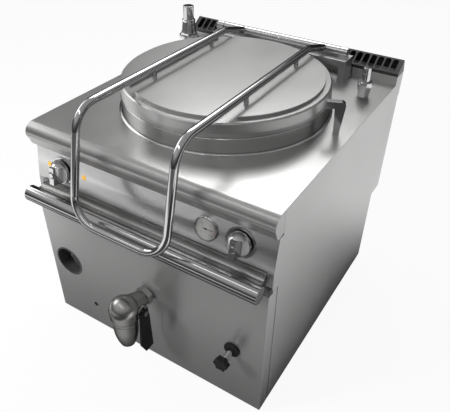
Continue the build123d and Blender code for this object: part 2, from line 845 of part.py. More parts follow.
hot_riser_y = panel_y + 113.0
feed_z = worktop_z - 25.0
feed_y = gas_line_y + 10.0
with BuildPart() as water_pipes:
    add(inlet_pipe(service_x, gas_z, [
        (service_x, gas_line_y, gas_z),
        (service_x, gas_line_y, water_port_z),
        (knob_x + 24.0, gas_line_y, water_port_z),
    ]))
    add(inlet_pipe(service_x, hot_z, [
        (service_x, hot_riser_y, hot_z),
        (service_x, hot_riser_y, water_port_z - 3.0),
        (knob_x, hot_riser_y, water_port_z - 3.0),
        (knob_x, hot_riser_y - 28.0, water_port_z - 3.0),
    ]))
    add(pipe(
        [
            (knob_x, feed_y, water_port_z + 18.0),
            (knob_x, feed_y, feed_z),
            (swan_x, feed_y, feed_z),
            (swan_x, swan_y, feed_z),
            (swan_x, swan_y, worktop_z),
        ],
        stub_r, 14.0, 1.5))
    add(water_block, mode=Mode.SUBTRACT)
water_pipes.part.label = "water_pipes"
export_step(water_pipes.part, "parts/water_pipes.step")

# Square-section water spout, wider towards its head and bent over towards the lid
swan_foot = 15.0
swan_inside = 12.0
swan_outside = 18.0
swan_arm = 20.0
swan_depth = 18.0
swan_wall = 2.0
swan_top = worktop_z + 98.0
swan_reach = 36.0
swan_bend = 12.0
swan_turn = math.radians(22.0)
swan_plane = Plane(
    origin=(swan_x, swan_y, 0),
    x_dir=(math.cos(swan_turn), math.sin(swan_turn), 0),
    z_dir=(math.sin(swan_turn), -math.cos(swan_turn), 0))


def swan_form(inset, run_out):
    depth = swan_depth - 2 * inset
    with BuildPart() as form:
        with BuildSketch(swan_plane.offset(-depth / 2)):
            Polygon(
                (inset - swan_foot / 2, worktop_z - run_out),
                (swan_foot / 2 - inset, worktop_z - run_out),
                (swan_outside - inset, swan_top - inset),
                (-swan_reach - run_out, swan_top - inset),
                (-swan_reach - run_out, swan_top - swan_arm + inset),
                (inset - swan_inside, swan_top - swan_arm + inset),
                align=None)
            corners = vertices().sort_by_distance((swan_outside, swan_top))
            fillet(corners[0], swan_bend - inset)
        extrude(amount=depth)
    return form.part


with BuildPart() as water_spout:
    add(swan_form(0, 0))
    add(swan_form(swan_wall, 1.0), mode=Mode.SUBTRACT)
water_spout.part.label = "water_spout"
export_step(water_spout.part, "parts/water_spout.step")

# Knobs with round bezels
bezel_height = 3.0
knob_push = 4.0
knob_rest = bezel_height + knob_push + fit_gap
knob_height = 37.5
fin_width = 17.0
fin_end = knob_r - 5.0
shoulder = 7.0
brow_y = 23.0


def bezel(plane):
    with BuildPart() as ring:
        with BuildSketch(plane):
            Circle(bezel_r)
            Circle(spindle_r + 2.0, mode=Mode.SUBTRACT)
        extrude(amount=bezel_height, taper=12.0)
        with BuildSketch(plane.offset(1.0)):
            Circle(knob_r + 1.5)
        extrude(amount=bezel_height, mode=Mode.SUBTRACT)
    return ring.part


def fin_knob(plane, bore_r):
    base = plane.offset(knob_rest)
    section = Plane(origin=base.origin, x_dir=base.x_dir, z_dir=base.x_dir.cross(base.z_dir))
    with BuildPart() as knob:
        with BuildSketch(section):
            with BuildLine():
                skirt = Polyline((0, 0), (knob_r, 0), (knob_r - 0.8, shoulder))
                crown = ThreePointArc(skirt @ 1, (knob_r * 0.74, knob_height * 0.6), (7.0, knob_height))
                Polyline(crown @ 1, (0, knob_height), (0, 0))
            make_face()
        revolve(axis=Axis(base.origin, base.z_dir))
        with BuildSketch(base.offset(shoulder)):
            with Locations((0, brow_y - 50.0)):
                Rectangle(100.0, 100.0)
            with Locations((0, brow_y - 40.0)):
                Rectangle(fin_width, 80.0, mode=Mode.SUBTRACT)
        extrude(amount=knob_height, mode=Mode.SUBTRACT)
        with BuildSketch(base.offset(shoulder - 5.0)):
            Circle(knob_r - 3.0)
            with Locations((0, brow_y - knob_r)):
                Rectangle(2 * knob_r, 2 * knob_r, mode=Mode.INTERSECT)
            Rectangle(fin_width, 80.0, mode=Mode.SUBTRACT)
        extrude(amount=knob_height, mode=Mode.SUBTRACT)
        with BuildSketch(base.offset(shoulder)):
            with Locations((0, (brow_y - fin_end) / 2)):
                Rectangle(fin_width, brow_y + fin_end)
        extrude(amount=knob_height - shoulder - 2.0)
        with BuildSketch(base):
            Circle(bore_r)
        extrude(amount=25.0, mode=Mode.SUBTRACT)
    return knob.part


def spindle(plane):
    with BuildPart() as shaft:
        with BuildSketch(plane.offset(-sheet - spindle_reach)):
            Circle(spindle_r)
        extrude(amount=sheet + spindle_reach + knob_rest + 20.0)
    return shaft.part


with BuildPart() as knob_bezels:
    add(bezel(gas_plane))
    add(bezel(water_plane))
knob_bezels.part.label = "knob_bezels"
export_step(knob_bezels.part, "parts/knob_bezels.step")

with BuildPart() as gas_spindle:
    add(spindle(gas_plane))
gas_spindle.part.label = "gas_spindle"
export_step(gas_spindle.part, "parts/gas_spindle.step")

with BuildPart() as gas_knob:
    add(fin_knob(gas_plane, spindle_r + 0.05))
gas_knob.part.label = "gas_knob"
export_step(gas_knob.part, "parts/gas_knob.step")

with BuildPart() as water_knob:
    add(fin_knob(water_plane, spindle_r))
    add(spindle(water_plane))
water_knob.part.label = "water_knob"
export_step(water_knob.part, "parts/water_knob.step")

mark_r = 5.5
with BuildPart() as colour_marks:
    for x in (-knob_x - bezel_r - mark_r - 0.5, 84.0 - knob_x):
        with BuildSketch(face_plane(x)):
            Circle(mark_r)
        extrude(amount=1.2)
colour_marks.part.label = "colour_marks"
export_step(colour_marks.part, "parts/colour_marks.step")

# Pressure gauge set in the control panel, with its capillary to the jacket
dial_plane = face_plane(gauge_x)
gauge_rim = 6.0
gauge_depth = 28.0
arbor_r = 1.2
jacket_front_y = kettle_y - math.sqrt(jacket_r ** 2 - gauge_x ** 2)
with BuildPart() as gauge_case:
    with BuildSketch(dial_plane):
        Circle(gauge_r)
    extrude(amount=gauge_rim)
    chamfer(gauge_case.edges().filter_by(GeomType.CIRCLE).sort_by(SortBy.DISTANCE)[-1:], 0.8)
    with BuildSketch(dial_plane):
        Circle(gauge_r - 5.5)
    extrude(amount=-gauge_depth)
    with BuildSketch(dial_plane.offset(1.2)):
        Circle(gauge_r - 3.5)
    extrude(amount=gauge_rim, mode=Mode.SUBTRACT)
    with BuildSketch(dial_plane.offset(2.0)):
        Circle(gauge_r - 8.0)
    extrude(amount=-gauge_depth, mode=Mode.SUBTRACT)
    with BuildSketch(front_plane(jacket_front_y + 6.0)):
        with Locations((gauge_x, capillary_z)):
            Circle(capillary_r)
    extrude(until=Until.NEXT)
gauge_case.part.label = "gauge_case"
export_step(gauge_case.part, "parts/gauge_case.step")

with BuildPart() as gauge_dial:
    with BuildSketch(dial_plane.offset(1.2)):
        Circle(gauge_r - 3.6)
        Circle(arbor_r + 0.05, mode=Mode.SUBTRACT)
    extrude(amount=0.8)
gauge_dial.part.label = "gauge_dial"
export_step(gauge_dial.part, "parts/gauge_dial.step")

with BuildPart() as gauge_needle:
    with BuildSketch(dial_plane.offset(-2.0)):
        Circle(arbor_r)
    extrude(amount=5.4)
    with BuildSketch(dial_plane.offset(2.4)):
        Circle(3.0)
        Polygon((-9.0, -1.2), (-9.0, 1.2), (22.0, 0.4), (22.0, -0.4), align=None)
    extrude(amount=0.9)
gauge_needle.part.label = "gauge_needle"
export_step(gauge_needle.part, "parts/gauge_needle.step")

with BuildPart() as gauge_glass:
    with BuildSketch(dial_plane.offset(4.0)):
        Circle(gauge_r - 3.5)
    extrude(amount=1.2)
gauge_glass.part.label = "gauge_glass"
export_step(gauge_glass.part, "parts/gauge_glass.step")

# Drain pipe from the vessel wall to the tap
nut_front_y = panel_y - 25.0
nut_back_y = panel_y - 9.0
with BuildPart() as drain_pipe:
    with BuildSketch(front_plane(nut_front_y)):
        with Locations((tap_x, tap_z)):
            Circle(drain_pipe_r)
            Circle(drain_bore_r, mode=Mode.SUBTRACT)
    extrude(amount=-(kettle_y - vessel_r + 20.0 - nut_front_y))
    add(vessel_outside, mode=Mode.SUBTRACT)
drain_pipe.part.label = "drain_pipe"
export_step(drain_pipe.part, "parts/drain_pipe.step")

nut_flats = 52.0
with BuildPart() as drain_nut:
    with BuildSketch(front_plane(nut_back_y)):
        with Locations((tap_x, tap_z)):
            RegularPolygon(radius=nut_flats / 2, side_count=6, major_radius=False, rotation=30)
            Circle(drain_pipe_r, mode=Mode.SUBTRACT)
    extrude(amount=nut_back_y - nut_front_y)
drain_nut.part.label = "drain_nut"
export_step(drain_nut.part, "parts/drain_nut.step")

# Tap body: one casting with the ball seat, the stem boss, the domed elbow and the spout
spout_section = Plane(origin=(tap_x, spout_y, 0), x_dir=(1, 0, 0), z_dir=(0, -1, 0))
spout_axis = Axis((tap_x, spout_y, 0), (0, 0, 1))
collar_z = dome_z - 32.0
collar_band = 10.0
stem_r = 8.0
boss_r = 22.0
boss_end_x = lever_x - 4.0
spout_wall = 5.0


def ball_form(radius):
    with BuildPart() as form:
        with BuildSketch(floor_plane(tap_z, tap_x, tap_ball_y)):
            Circle(radius)
            with Locations((0, -50.0)):
                Rectangle(100.0, 100.0, mode=Mode.SUBTRACT)
        revolve(axis=Axis((tap_x, tap_ball_y, tap_z), (1, 0, 0)))
    return form.part


with BuildPart() as drain_tap_body:
    with BuildSketch(front_plane(nut_front_y)):
        with Locations((tap_x, tap_z)):
            Circle(drain_pipe_r)
    with BuildSketch(front_plane(spout_y)):
        with Locations((tap_x, dome_z)):
            Circle(dome_r - 0.5)
    loft()
    with BuildSketch(side_plane(tap_x)):
        with Locations((tap_ball_y, tap_z)):
            Circle(boss_r)
    extrude(amount=boss_end_x - tap_x)
    with BuildSketch(spout_section):
        with BuildLine():
            crown = ThreePointArc(
                (0, dome_z + dome_r),
                (dome_r * math.sin(math.pi / 4), dome_z + dome_r * math.cos(math.pi / 4)),
                (dome_r, dome_z))
            band = Polyline(
                crown @ 1, (dome_r - 1.5, collar_z + 6.0), (spout_r + 0.2, collar_z),
                (spout_r - 1.5, collar_z), (spout_r - 1.5, collar_z - collar_band),
                (spout_r, collar_z - collar_band), (spout_r - 1.0, collar_z - collar_band - 22.0))
            mouth = ThreePointArc(
                band @ 1, (spout_r - 5.5, spout_bottom_z + 32.0), (spout_tip_r, spout_bottom_z))
            Polyline(mouth @ 1, (0, spout_bottom_z), crown @ 0)
        make_face()
    revolve(axis=spout_axis)
    with BuildSketch(spout_section):
        Polygon(
            (0, spout_bottom_z - 1.0), (spout_tip_r - spout_wall, spout_bottom_z - 1.0),
            (spout_tip_r - spout_wall, spout_bottom_z + 8.0), (spout_r - spout_wall - 4.0, spout_bottom_z + 48.0),
            (spout_r - spout_wall - 4.0, collar_z - collar_band), (elbow_r, collar_z), (elbow_r, dome_z),
            (0, dome_z + 12.0), align=None)
    revolve(axis=spout_axis, mode=Mode.SUBTRACT)
    with BuildSketch(front_plane(nut_front_y + 1.0)):
        with Locations((tap_x, tap_z)):
            Circle(tap_bore_r)
    extrude(amount=nut_front_y - spout_y, mode=Mode.SUBTRACT)
    add(ball_form(ball_r + fit_gap), mode=Mode.SUBTRACT)
    with BuildSketch(side_plane(tap_x)):
        with Locations((tap_ball_y, tap_z)):
            Circle(stem_r + 0.05)
    extrude(amount=100.0, mode=Mode.SUBTRACT)
drain_tap_body.part.label = "drain_tap_body"
export_step(drain_tap_body.part, "parts/drain_tap_body.step")

# Ball with its bore upright while the tap is shut, in one piece with its stem
lever_sheet = 4.5
with BuildPart() as drain_ball:
    add(ball_form(ball_r))
    with BuildSketch(floor_plane(tap_z - ball_r - 1.0)):
        with Locations((tap_x, tap_ball_y)):
            Circle(ball_bore_r)
    extrude(amount=2 * ball_r + 2.0, mode=Mode.SUBTRACT)
    with BuildSketch(side_plane(tap_x + ball_bore_r)):
        with Locations((tap_ball_y, tap_z)):
            Circle(stem_r)
    extrude(amount=lever_x + lever_sheet + 2.0 - tap_x - ball_bore_r)
drain_ball.part.label = "drain_ball"
export_step(drain_ball.part, "parts/drain_ball.step")

lever_top = tap_z + 13.0
lever_tip = tap_z - lever_length
with BuildPart() as drain_lever:
    with BuildSketch(side_plane(lever_x)):
        Polygon(
            (tap_ball_y - 23.0, lever_top),
            (tap_ball_y + 10.0, lever_top),
            (tap_ball_y + 15.0, tap_z - 18.0),
            (tap_ball_y + 19.0, lever_tip + 2.0),
            (tap_ball_y - 14.0, lever_tip),
            (tap_ball_y - 34.0, lever_tip + 44.0),
            align=None)
        with Locations((tap_ball_y, tap_z)):
            Circle(stem_r, mode=Mode.SUBTRACT)
    extrude(amount=lever_sheet)
drain_lever.part.label = "drain_lever"
export_step(drain_lever.part, "parts/drain_lever.step")

# Level tap: flange, stem with a small outlet, and a lobed knob
level_knob_y = panel_y - 49.0
level_spindle_r = 4.0
level_inner_y = kettle_y - math.sqrt((jacket_r - jacket_wall) ** 2 - (level_x + level_pipe_r) ** 2) + 6.0
with BuildPart() as level_flange:
    with BuildSketch(front_plane(panel_y)):
        with Locations((level_x, level_z)):
            Circle(25.0)
            Circle(level_pipe_r, mode=Mode.SUBTRACT)
    extrude(amount=6.5)
    fillet(level_flange.edges().group_by(Axis.Y)[0], 2.0)
level_flange.part.label = "level_flange"
export_step(level_flange.part, "parts/level_flange.step")

with BuildPart() as level_tap_body:
    with BuildSketch(front_plane(level_inner_y)):
        with Locations((level_x, level_z)):
            Circle(level_pipe_r)
    extrude(amount=level_inner_y - level_knob_y - 3.0)
    with BuildSketch(floor_plane(level_z, level_x, panel_y - 26.0)):
        Circle(5.5)
    extrude(amount=-19.0)
    with BuildSketch(front_plane(level_inner_y)):
        with Locations((level_x, level_z)):
            Circle(level_pipe_r - 2.5)
    extrude(amount=level_inner_y - panel_y + 22.0, mode=Mode.SUBTRACT)
    with BuildSketch(floor_plane(level_z, level_x, panel_y - 26.0)):
        Circle(3.5)
    extrude(amount=-20.0, mode=Mode.SUBTRACT)
    with BuildSketch(front_plane(panel_y)):
        with Locations((level_x, level_z)):
            Circle(level_spindle_r + 0.05)
    extrude(amount=60.0, mode=Mode.SUBTRACT)
level_tap_body.part.label = "level_tap_body"
export_step(level_tap_body.part, "parts/level_tap_body.step")

lobe_count = 6
with BuildPart() as level_knob:
    with BuildSketch(front_plane(level_knob_y)):
        with Locations((level_x, level_z)):
            Circle(19.0)
            with PolarLocations(17.5, lobe_count):
                Circle(5.5)
    extrude(amount=17.0)
    with BuildSketch(front_plane(level_knob_y + 18.0)):
        with Locations((level_x, level_z)):
            Circle(level_spindle_r)
    extrude(amount=20.0)
level_knob.part.label = "level_knob"
export_step(level_knob.part, "parts/level_knob.step")

# Sight port: a flanged cup with a disc set off centre on its floor
port_depth = 38.0
port_sheet = 1.5
with BuildPart() as sight_port:
    with BuildSketch(front_plane(panel_y)):
        with Locations((port_x, port_z)):
            Circle(port_r)
            Circle(port_r - 4.0 - port_sheet, mode=Mode.SUBTRACT)
    extrude(amount=1.2)
    with BuildSketch(front_plane(panel_y)):
        with Locations((port_x, port_z)):
            Circle(port_r - 4.0)
    extrude(amount=-port_depth)
    with BuildSketch(front_plane(panel_y - 2.0)):
        with Locations((port_x, port_z)):
            Circle(port_r - 4.0 - port_sheet)
    extrude(amount=-(port_depth + 2.0 - port_sheet), mode=Mode.SUBTRACT)
    with BuildSketch(front_plane(panel_y + port_depth - port_sheet)):
        with Locations((port_x + 9.0, port_z + 6.0)):
            Circle(31.0)
    extrude(amount=9.0)
sight_port.part.label = "sight_port"
export_step(sight_port.part, "parts/sight_port.step")

# Pipes that join the two columns to the steam space of the jacket


def column_pipe(x, y, span):
    reach = (jacket_r - 5.0) / span
    return pipe(
        [(x, y, worktop_z), (x, y, column_z), (x * reach, kettle_y + (y - kettle_y) * reach, column_z)],
        stub_r, 20.0, 2.0)


with BuildPart() as column_pipes:
    add(column_pipe(valve_x, valve_y, valve_span))
    add(column_pipe(vent_column_x, vent_column_y, vent_span))
column_pipes.part.label = "column_pipes"
export_step(column_pipes.part, "parts/column_pipes.step")

# Safety valve: hexagon foot, flange, cone and ring, with a cap that lifts
cap_seat_z = worktop_z + 109.0
cap_top_z = worktop_z + 155.5
cap_r = 19.0
cap_stem_r = 6.0
with BuildPart() as safety_valve:
    with BuildSketch(floor_plane(worktop_z, valve_x, valve_y)):
        RegularPolygon(radius=30.0, side_count=6)
    extrude(amount=12.0)
    with BuildSketch(floor_plane(worktop_z, valve_x, valve_y)):
        Circle(19.0)
    extrude(amount=60.0)
    with BuildSketch(floor_plane(worktop_z + 45.0, valve_x, valve_y)):
        Circle(35.0)
    extrude(amount=9.0)
    with BuildSketch(floor_plane(worktop_z + 54.0, valve_x, valve_y)):
        RegularPolygon(radius=32.0, side_count=6)
    extrude(amount=9.0)
    with BuildSketch(floor_plane(worktop_z + 63.0, valve_x, valve_y)):
        Circle(26.5)
    extrude(amount=38.0, taper=6.5)
    with BuildSketch(floor_plane(cap_seat_z - 8.0, valve_x, valve_y)):
        Circle(23.5)
    extrude(amount=8.0)
    chamfer(safety_valve.edges().group_by(Axis.Z)[-1], 2.0)
    with BuildSketch(floor_plane(worktop_z, valve_x, valve_y)):
        Circle(stub_r)
    extrude(amount=48.0, mode=Mode.SUBTRACT)
    with BuildSketch(floor_plane(worktop_z, valve_x, valve_y)):
        Circle(cap_stem_r + 0.05)
    extrude(amount=cap_seat_z - worktop_z, mode=Mode.SUBTRACT)
safety_valve.part.label = "safety_valve"
export_step(safety_valve.part, "parts/safety_valve.step")

with BuildPart() as safety_cap:
    with BuildSketch(floor_plane(cap_seat_z, valve_x, valve_y)):
        Circle(cap_r)
    extrude(amount=cap_top_z - cap_seat_z)
    fillet(safety_cap.edges().group_by(Axis.Z)[-1], 2.5)
    with BuildSketch(floor_plane(cap_top_z - 22.0, valve_x, valve_y)):
        Circle(cap_r - 5.0)
    extrude(amount=30.0, mode=Mode.SUBTRACT)
    with BuildSketch(floor_plane(cap_seat_z - 30.0, valve_x, valve_y)):
        Circle(cap_stem_r)
    extrude(amount=30.0)
safety_cap.part.label = "safety_cap"
export_step(safety_cap.part, "parts/safety_cap.step")

# Vent column of the jacket: tapered hexagon foot and a round upper part with a screwed cap
with BuildPart() as vent_column:
    with BuildSketch(floor_plane(worktop_z + 42.0, vent_column_x, vent_column_y)):
        RegularPolygon(radius=24.0, side_count=6)
    extrude(amount=-42.0, taper=8.0)
    with BuildSketch(floor_plane(worktop_z + 42.0, vent_column_x, vent_column_y)):
        Circle(22.0)
    extrude(amount=6.0)
    with BuildSketch(floor_plane(worktop_z + 48.0, vent_column_x, vent_column_y)):
        Circle(13.5)
    extrude(amount=28.0, taper=1.0)
    with BuildSketch(floor_plane(worktop_z + 76.0, vent_column_x, vent_column_y)):
        Circle(12.5)
    extrude(amount=18.0)
    chamfer(vent_column.edges().group_by(Axis.Z)[-1], 2.0)
    with BuildSketch(floor_plane(worktop_z, vent_column_x, vent_column_y)):
        Circle(stub_r)
    extrude(amount=66.0, mode=Mode.SUBTRACT)
vent_column.part.label = "vent_column"
export_step(vent_column.part, "parts/vent_column.step")

# Lid: a pressed shell, hollow below, with one centre pad and two side pads
skirt_z = rim_z + vessel_wall + 0.5
lid_top = worktop_z + 91.0
pad_top = lid_top + lid_panel_rise
brim_z = lid_top - 6.0


def pad_forms(inset, base_z, height):
    with BuildPart() as pads:
        with BuildSketch(floor_plane(base_z)):
            with Locations((0, kettle_y)):
                Circle(lid_panel_r - inset)
            for sign in (-1, 1):
                with Locations((sign * arm_x, kettle_y)):
                    Rectangle(2 * (channel_half + inset), 2 * lid_r, mode=Mode.SUBTRACT)
        extrude(amount=height)
    return pads.part


pad_block = pad_forms(0, lid_top - 4.0, pad_top - lid_top + 4.0)
pad_inside = pad_forms(lid_wall, lid_top - 10.0, pad_top - lid_top + 10.0 - lid_wall)
with BuildPart() as lid_shell:
    with BuildSketch(kettle_section):
        with BuildLine():
            Polyline(
                (0, skirt_z), (lid_skirt_r, skirt_z), (lid_skirt_r, skirt_z + 12.0),
                (lid_r, lid_top - 4.0), (lid_r - 4.0, lid_top), (0, lid_top), close=True)
        make_face()
    revolve(axis=kettle_axis)
    add(pad_block)
    with BuildSketch(kettle_section):
        with BuildLine():
            Polyline(
                (0, skirt_z - 1.0), (lid_skirt_r - lid_wall, skirt_z - 1.0), (lid_skirt_r - lid_wall, skirt_z + 12.0),
                (lid_r - lid_wall, lid_top - 5.0), (lid_r - 5.0, lid_top - lid_wall), (0, lid_top - lid_wall),
                close=True)
        make_face()
    revolve(axis=kettle_axis, mode=Mode.SUBTRACT)
    add(pad_inside, mode=Mode.SUBTRACT)
lid_shell.part.label = "lid_shell"
export_step(lid_shell.part, "parts/lid_shell.step")

pan_r = lid_r - 13.5
seal_r = vessel_r + 3.5
pan_z = skirt_z + 8.0
with BuildPart() as lid_inner_pan:
    with BuildSketch(kettle_section):
        with BuildLine():
            Polyline(
                (0, pan_z - 10.0), (pan_r - 16.0, pan_z - 10.0), (pan_r - 6.0, pan_z),
                (lid_skirt_r - lid_wall, pan_z), (lid_skirt_r - lid_wall, pan_z + 1.5), (pan_r - 7.0, pan_z + 1.5),
                (pan_r - 17.0, pan_z - 8.5), (0, pan_z - 8.5), close=True)
        make_face()
    revolve(axis=kettle_axis)
lid_inner_pan.part.label = "lid_inner_pan"
export_step(lid_inner_pan.part, "parts/lid_inner_pan.step")

with BuildPart() as lid_seal:
    with BuildSketch(floor_plane(rim_z + vessel_wall + 0.1, 0, kettle_y)):
        Circle(seal_r + 3.5)
        Circle(seal_r - 3.5, mode=Mode.SUBTRACT)
    extrude(amount=pan_z - rim_z - vessel_wall - 0.1)
lid_seal.part.label = "lid_seal"
export_step(lid_seal.part, "parts/lid_seal.step")

# Hinge tube behind the lid, turning between two end rings on the bridge
with BuildPart() as hinge_tube:
    with BuildSketch(side_plane(hinge_left_x + 1.0)):
        with Locations((hinge_y, hinge_z)):
            Circle(hinge_tube_r)
    extrude(amount=hinge_right_x - hinge_left_x - 1.0)
    for x, way in ((hinge_left_x + 1.0, -1), (hinge_right_x, 1)):
        with BuildSketch(side_plane(x)):
            with Locations((hinge_y, hinge_z)):
                Circle(8.0)
        extrude(amount=way * 22.0)
hinge_tube.part.label = "hinge_tube"
export_step(hinge_tube.part, "parts/hinge_tube.step")

bridge_top = hinge_z - hinge_tube_r - 1.5
with BuildPart() as hinge_bridge:
    with BuildSketch(front_plane(bridge_front_y)):
        with Locations(((bridge_left_x + bridge_right_x) / 2, (worktop_z + bridge_top) / 2)):
            Rectangle(bridge_right_x - bridge_left_x, bridge_top - worktop_z)
            Rectangle(
                bridge_right_x - bridge_left_x - 2 * post_width, bridge_top - worktop_z, mode=Mode.SUBTRACT)
        with Locations(((bridge_left_x + bridge_right_x) / 2, bridge_top - 10.0)):
            Rectangle(bridge_right_x - bridge_left_x, 20.0)
    extrude(amount=bridge_front_y - bridge_back_y)
    for x in (bridge_left_x + bridge_sheet, bridge_right_x - post_width + bridge_sheet):
        with BuildSketch(floor_plane(worktop_z)):
            with Locations((x + post_width / 2 - bridge_sheet, (bridge_front_y + bridge_back_y) / 2 + bridge_sheet)):
                Rectangle(post_width - 2 * bridge_sheet, bridge_back_y - bridge_front_y)
        extrude(amount=bridge_top - worktop_z - 20.0, mode=Mode.SUBTRACT)
    with BuildSketch(floor_plane(bridge_top - 21.0)):
        with Locations(((bridge_left_x + bridge_right_x) / 2, (bridge_front_y + bridge_back_y) / 2 + bridge_sheet)):
            Rectangle(
                bridge_right_x - bridge_left_x - 2 * bridge_sheet, bridge_back_y - bridge_front_y)
    extrude(amount=21.0 - bridge_sheet, mode=Mode.SUBTRACT)
hinge_bridge.part.label = "hinge_bridge"
export_step(hinge_bridge.part, "parts/hinge_bridge.step")

with BuildPart() as hinge_bearings:
    for x in (bridge_left_x, hinge_right_x + 1.0):
        with BuildSketch(side_plane(x)):
            with Locations((hinge_y, hinge_z)):
                Circle(hinge_tube_r + 0.7)
                with Locations((0, -hinge_tube_r + 0.25)):
                    Rectangle(20.0, 3.5)
                Circle(8.05, mode=Mode.SUBTRACT)
        extrude(amount=bearing_width)
hinge_bearings.part.label = "hinge_bearings"
export_step(hinge_bearings.part, "parts/hinge_bearings.step")

# Handle: one bent tube from the hinge over the lid, down past the worktop's nose and back,
# carried on four short posts
grip_z = arm_z - 299.0
loop_points = [
    (-arm_x, hinge_y, hinge_z + 1.0),
    (-arm_x, kettle_y + 235.0, arm_z - 1.0),
    (-arm_x, panel_y - 16.0, arm_z),
    (-arm_x, panel_y - 88.5, grip_z),
    (arm_x, panel_y - 88.5, grip_z),
    (arm_x, panel_y - 16.0, arm_z),
    (arm_x, kettle_y + 235.0, arm_z - 1.0),
    (arm_x, hinge_y, hinge_z + 1.0),
]
with BuildPart() as lid_handle:
    with BuildLine() as loop:
        FilletPolyline(*loop_points, radius=74.0)
    with BuildSketch(Plane(origin=loop.line @ 0, z_dir=loop.line % 0)):
        Circle(arm_r)
    sweep()
    with BuildSketch(side_plane(-arm_x - 20.0)):
        with Locations((hinge_y, hinge_z)):
            Circle(hinge_tube_r)
    extrude(amount=2 * arm_x + 40.0, mode=Mode.SUBTRACT)
    with BuildSketch(front_plane(hinge_y)):
        with Locations((0, hinge_z)):
            Rectangle(2 * arm_x + 60.0, 60.0)
    extrude(amount=-40.0, mode=Mode.SUBTRACT)
    with BuildSketch(floor_plane(lid_top)):
        for y in (kettle_y - 146.0, kettle_y + 153.0):
            with Locations((-arm_x, y), (arm_x, y)):
                Circle(6.5)
    extrude(amount=arm_z - lid_top)
lid_handle.part.label = "lid_handle"
export_step(lid_handle.part, "parts/lid_handle.step")
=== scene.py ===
import math

import bmesh
import bpy
from mathutils import Matrix, Quaternion, Vector


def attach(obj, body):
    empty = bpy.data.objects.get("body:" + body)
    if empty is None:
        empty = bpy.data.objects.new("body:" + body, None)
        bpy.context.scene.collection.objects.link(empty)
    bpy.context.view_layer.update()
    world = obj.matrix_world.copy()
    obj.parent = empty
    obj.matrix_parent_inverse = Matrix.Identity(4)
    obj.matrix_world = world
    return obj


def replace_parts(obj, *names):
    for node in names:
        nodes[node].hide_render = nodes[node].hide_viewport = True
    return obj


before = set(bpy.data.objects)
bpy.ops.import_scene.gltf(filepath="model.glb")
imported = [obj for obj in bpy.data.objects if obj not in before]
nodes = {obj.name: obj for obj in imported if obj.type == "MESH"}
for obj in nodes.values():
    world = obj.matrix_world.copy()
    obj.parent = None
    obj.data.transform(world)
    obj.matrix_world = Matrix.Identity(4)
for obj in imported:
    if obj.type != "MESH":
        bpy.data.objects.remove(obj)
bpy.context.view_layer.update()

print("frame loaded,", len(nodes), "nodes")

scene = bpy.context.scene
scene.view_settings.view_transform = "Standard"


# Camera at the height and angle of the photograph

cameraValues = {
    "place": (0.78103, -1.21645, 1.46268),
    "turn": 31.42,  # degrees to the right of the front
    "pitch": 37.04,  # degrees down
    "roll": 0.863,
    "lens": 42.851,
    "sensor": 36.0,
    "clip": (0.05, 60.0),
}


def makeCamera(values):
    data = bpy.data.cameras.new("photoCamera")
    data.lens = values["lens"]
    data.sensor_fit = "HORIZONTAL"
    data.sensor_width = values["sensor"]
    data.clip_start, data.clip_end = values["clip"]
    camera = bpy.data.objects.new("photoCamera", data)
    scene.collection.objects.link(camera)
    turn = math.radians(values["turn"])
    pitch = math.radians(values["pitch"])
    level = math.cos(pitch)
    forward = Vector((-math.sin(turn) * level, math.cos(turn) * level, -math.sin(pitch)))
    camera.location = values["place"]
    camera.rotation_mode = "QUATERNION"
    aim = forward.to_track_quat("-Z", "Y")
    camera.rotation_quaternion = aim @ Quaternion((0.0, 0.0, 1.0), math.radians(values["roll"]))
    scene.camera = camera


makeCamera(cameraValues)
print("camera set")


# Short ways to make nodes and shader groups

def newNode(tree, kind, inputs=None, **settings):
    # a shader node with its settings and the values of its inputs
    node = tree.nodes.new("ShaderNode" + kind)
    for setting, value in settings.items():
        setattr(node, setting, value)
    for label, value in (inputs or {}).items():
        node.inputs[label].default_value = value
    return node


def newGroup(name, inputs, outputs):
    group = bpy.data.node_groups.new(name, "ShaderNodeTree")
    for label, kind, value in inputs:
        socket = group.interface.new_socket(name=label, in_out="INPUT", socket_type=kind)
        socket.default_value = value
    for label, kind in outputs:
        group.interface.new_socket(name=label, in_out="OUTPUT", socket_type=kind)
    return group, group.nodes.new("NodeGroupInput"), group.nodes.new("NodeGroupOutput")


# Shared shader groups: each puts out masks, values and normals only

def makeBrushing():
    group, start, end = newGroup(
        "brushing",
        [("Stretch", "NodeSocketVector", (3.0, 300.0, 300.0)), ("Depth", "NodeSocketFloat", 0.1)],
        [("Mask", "NodeSocketFloat"), ("Normal", "NodeSocketVector")])
    link = group.links.new
    place = newNode(group, "TexCoord")
    stretch = newNode(group, "VectorMath", operation="MULTIPLY")
    noise = newNode(group, "TexNoise", {"Scale": 1.0, "Detail": 4.0, "Roughness": 0.6})
    bump = newNode(group, "Bump", {"Distance": 0.0004})
    link(place.outputs["Object"], stretch.inputs[0])
    link(start.outputs["Stretch"], stretch.inputs[1])
    link(stretch.outputs[0], noise.inputs["Vector"])
    link(noise.outputs["Fac"], bump.inputs["Height"])
    link(start.outputs["Depth"], bump.inputs["Strength"])
    link(noise.outputs["Fac"], end.inputs["Mask"])
    link(bump.outputs["Normal"], end.inputs["Normal"])
    return group


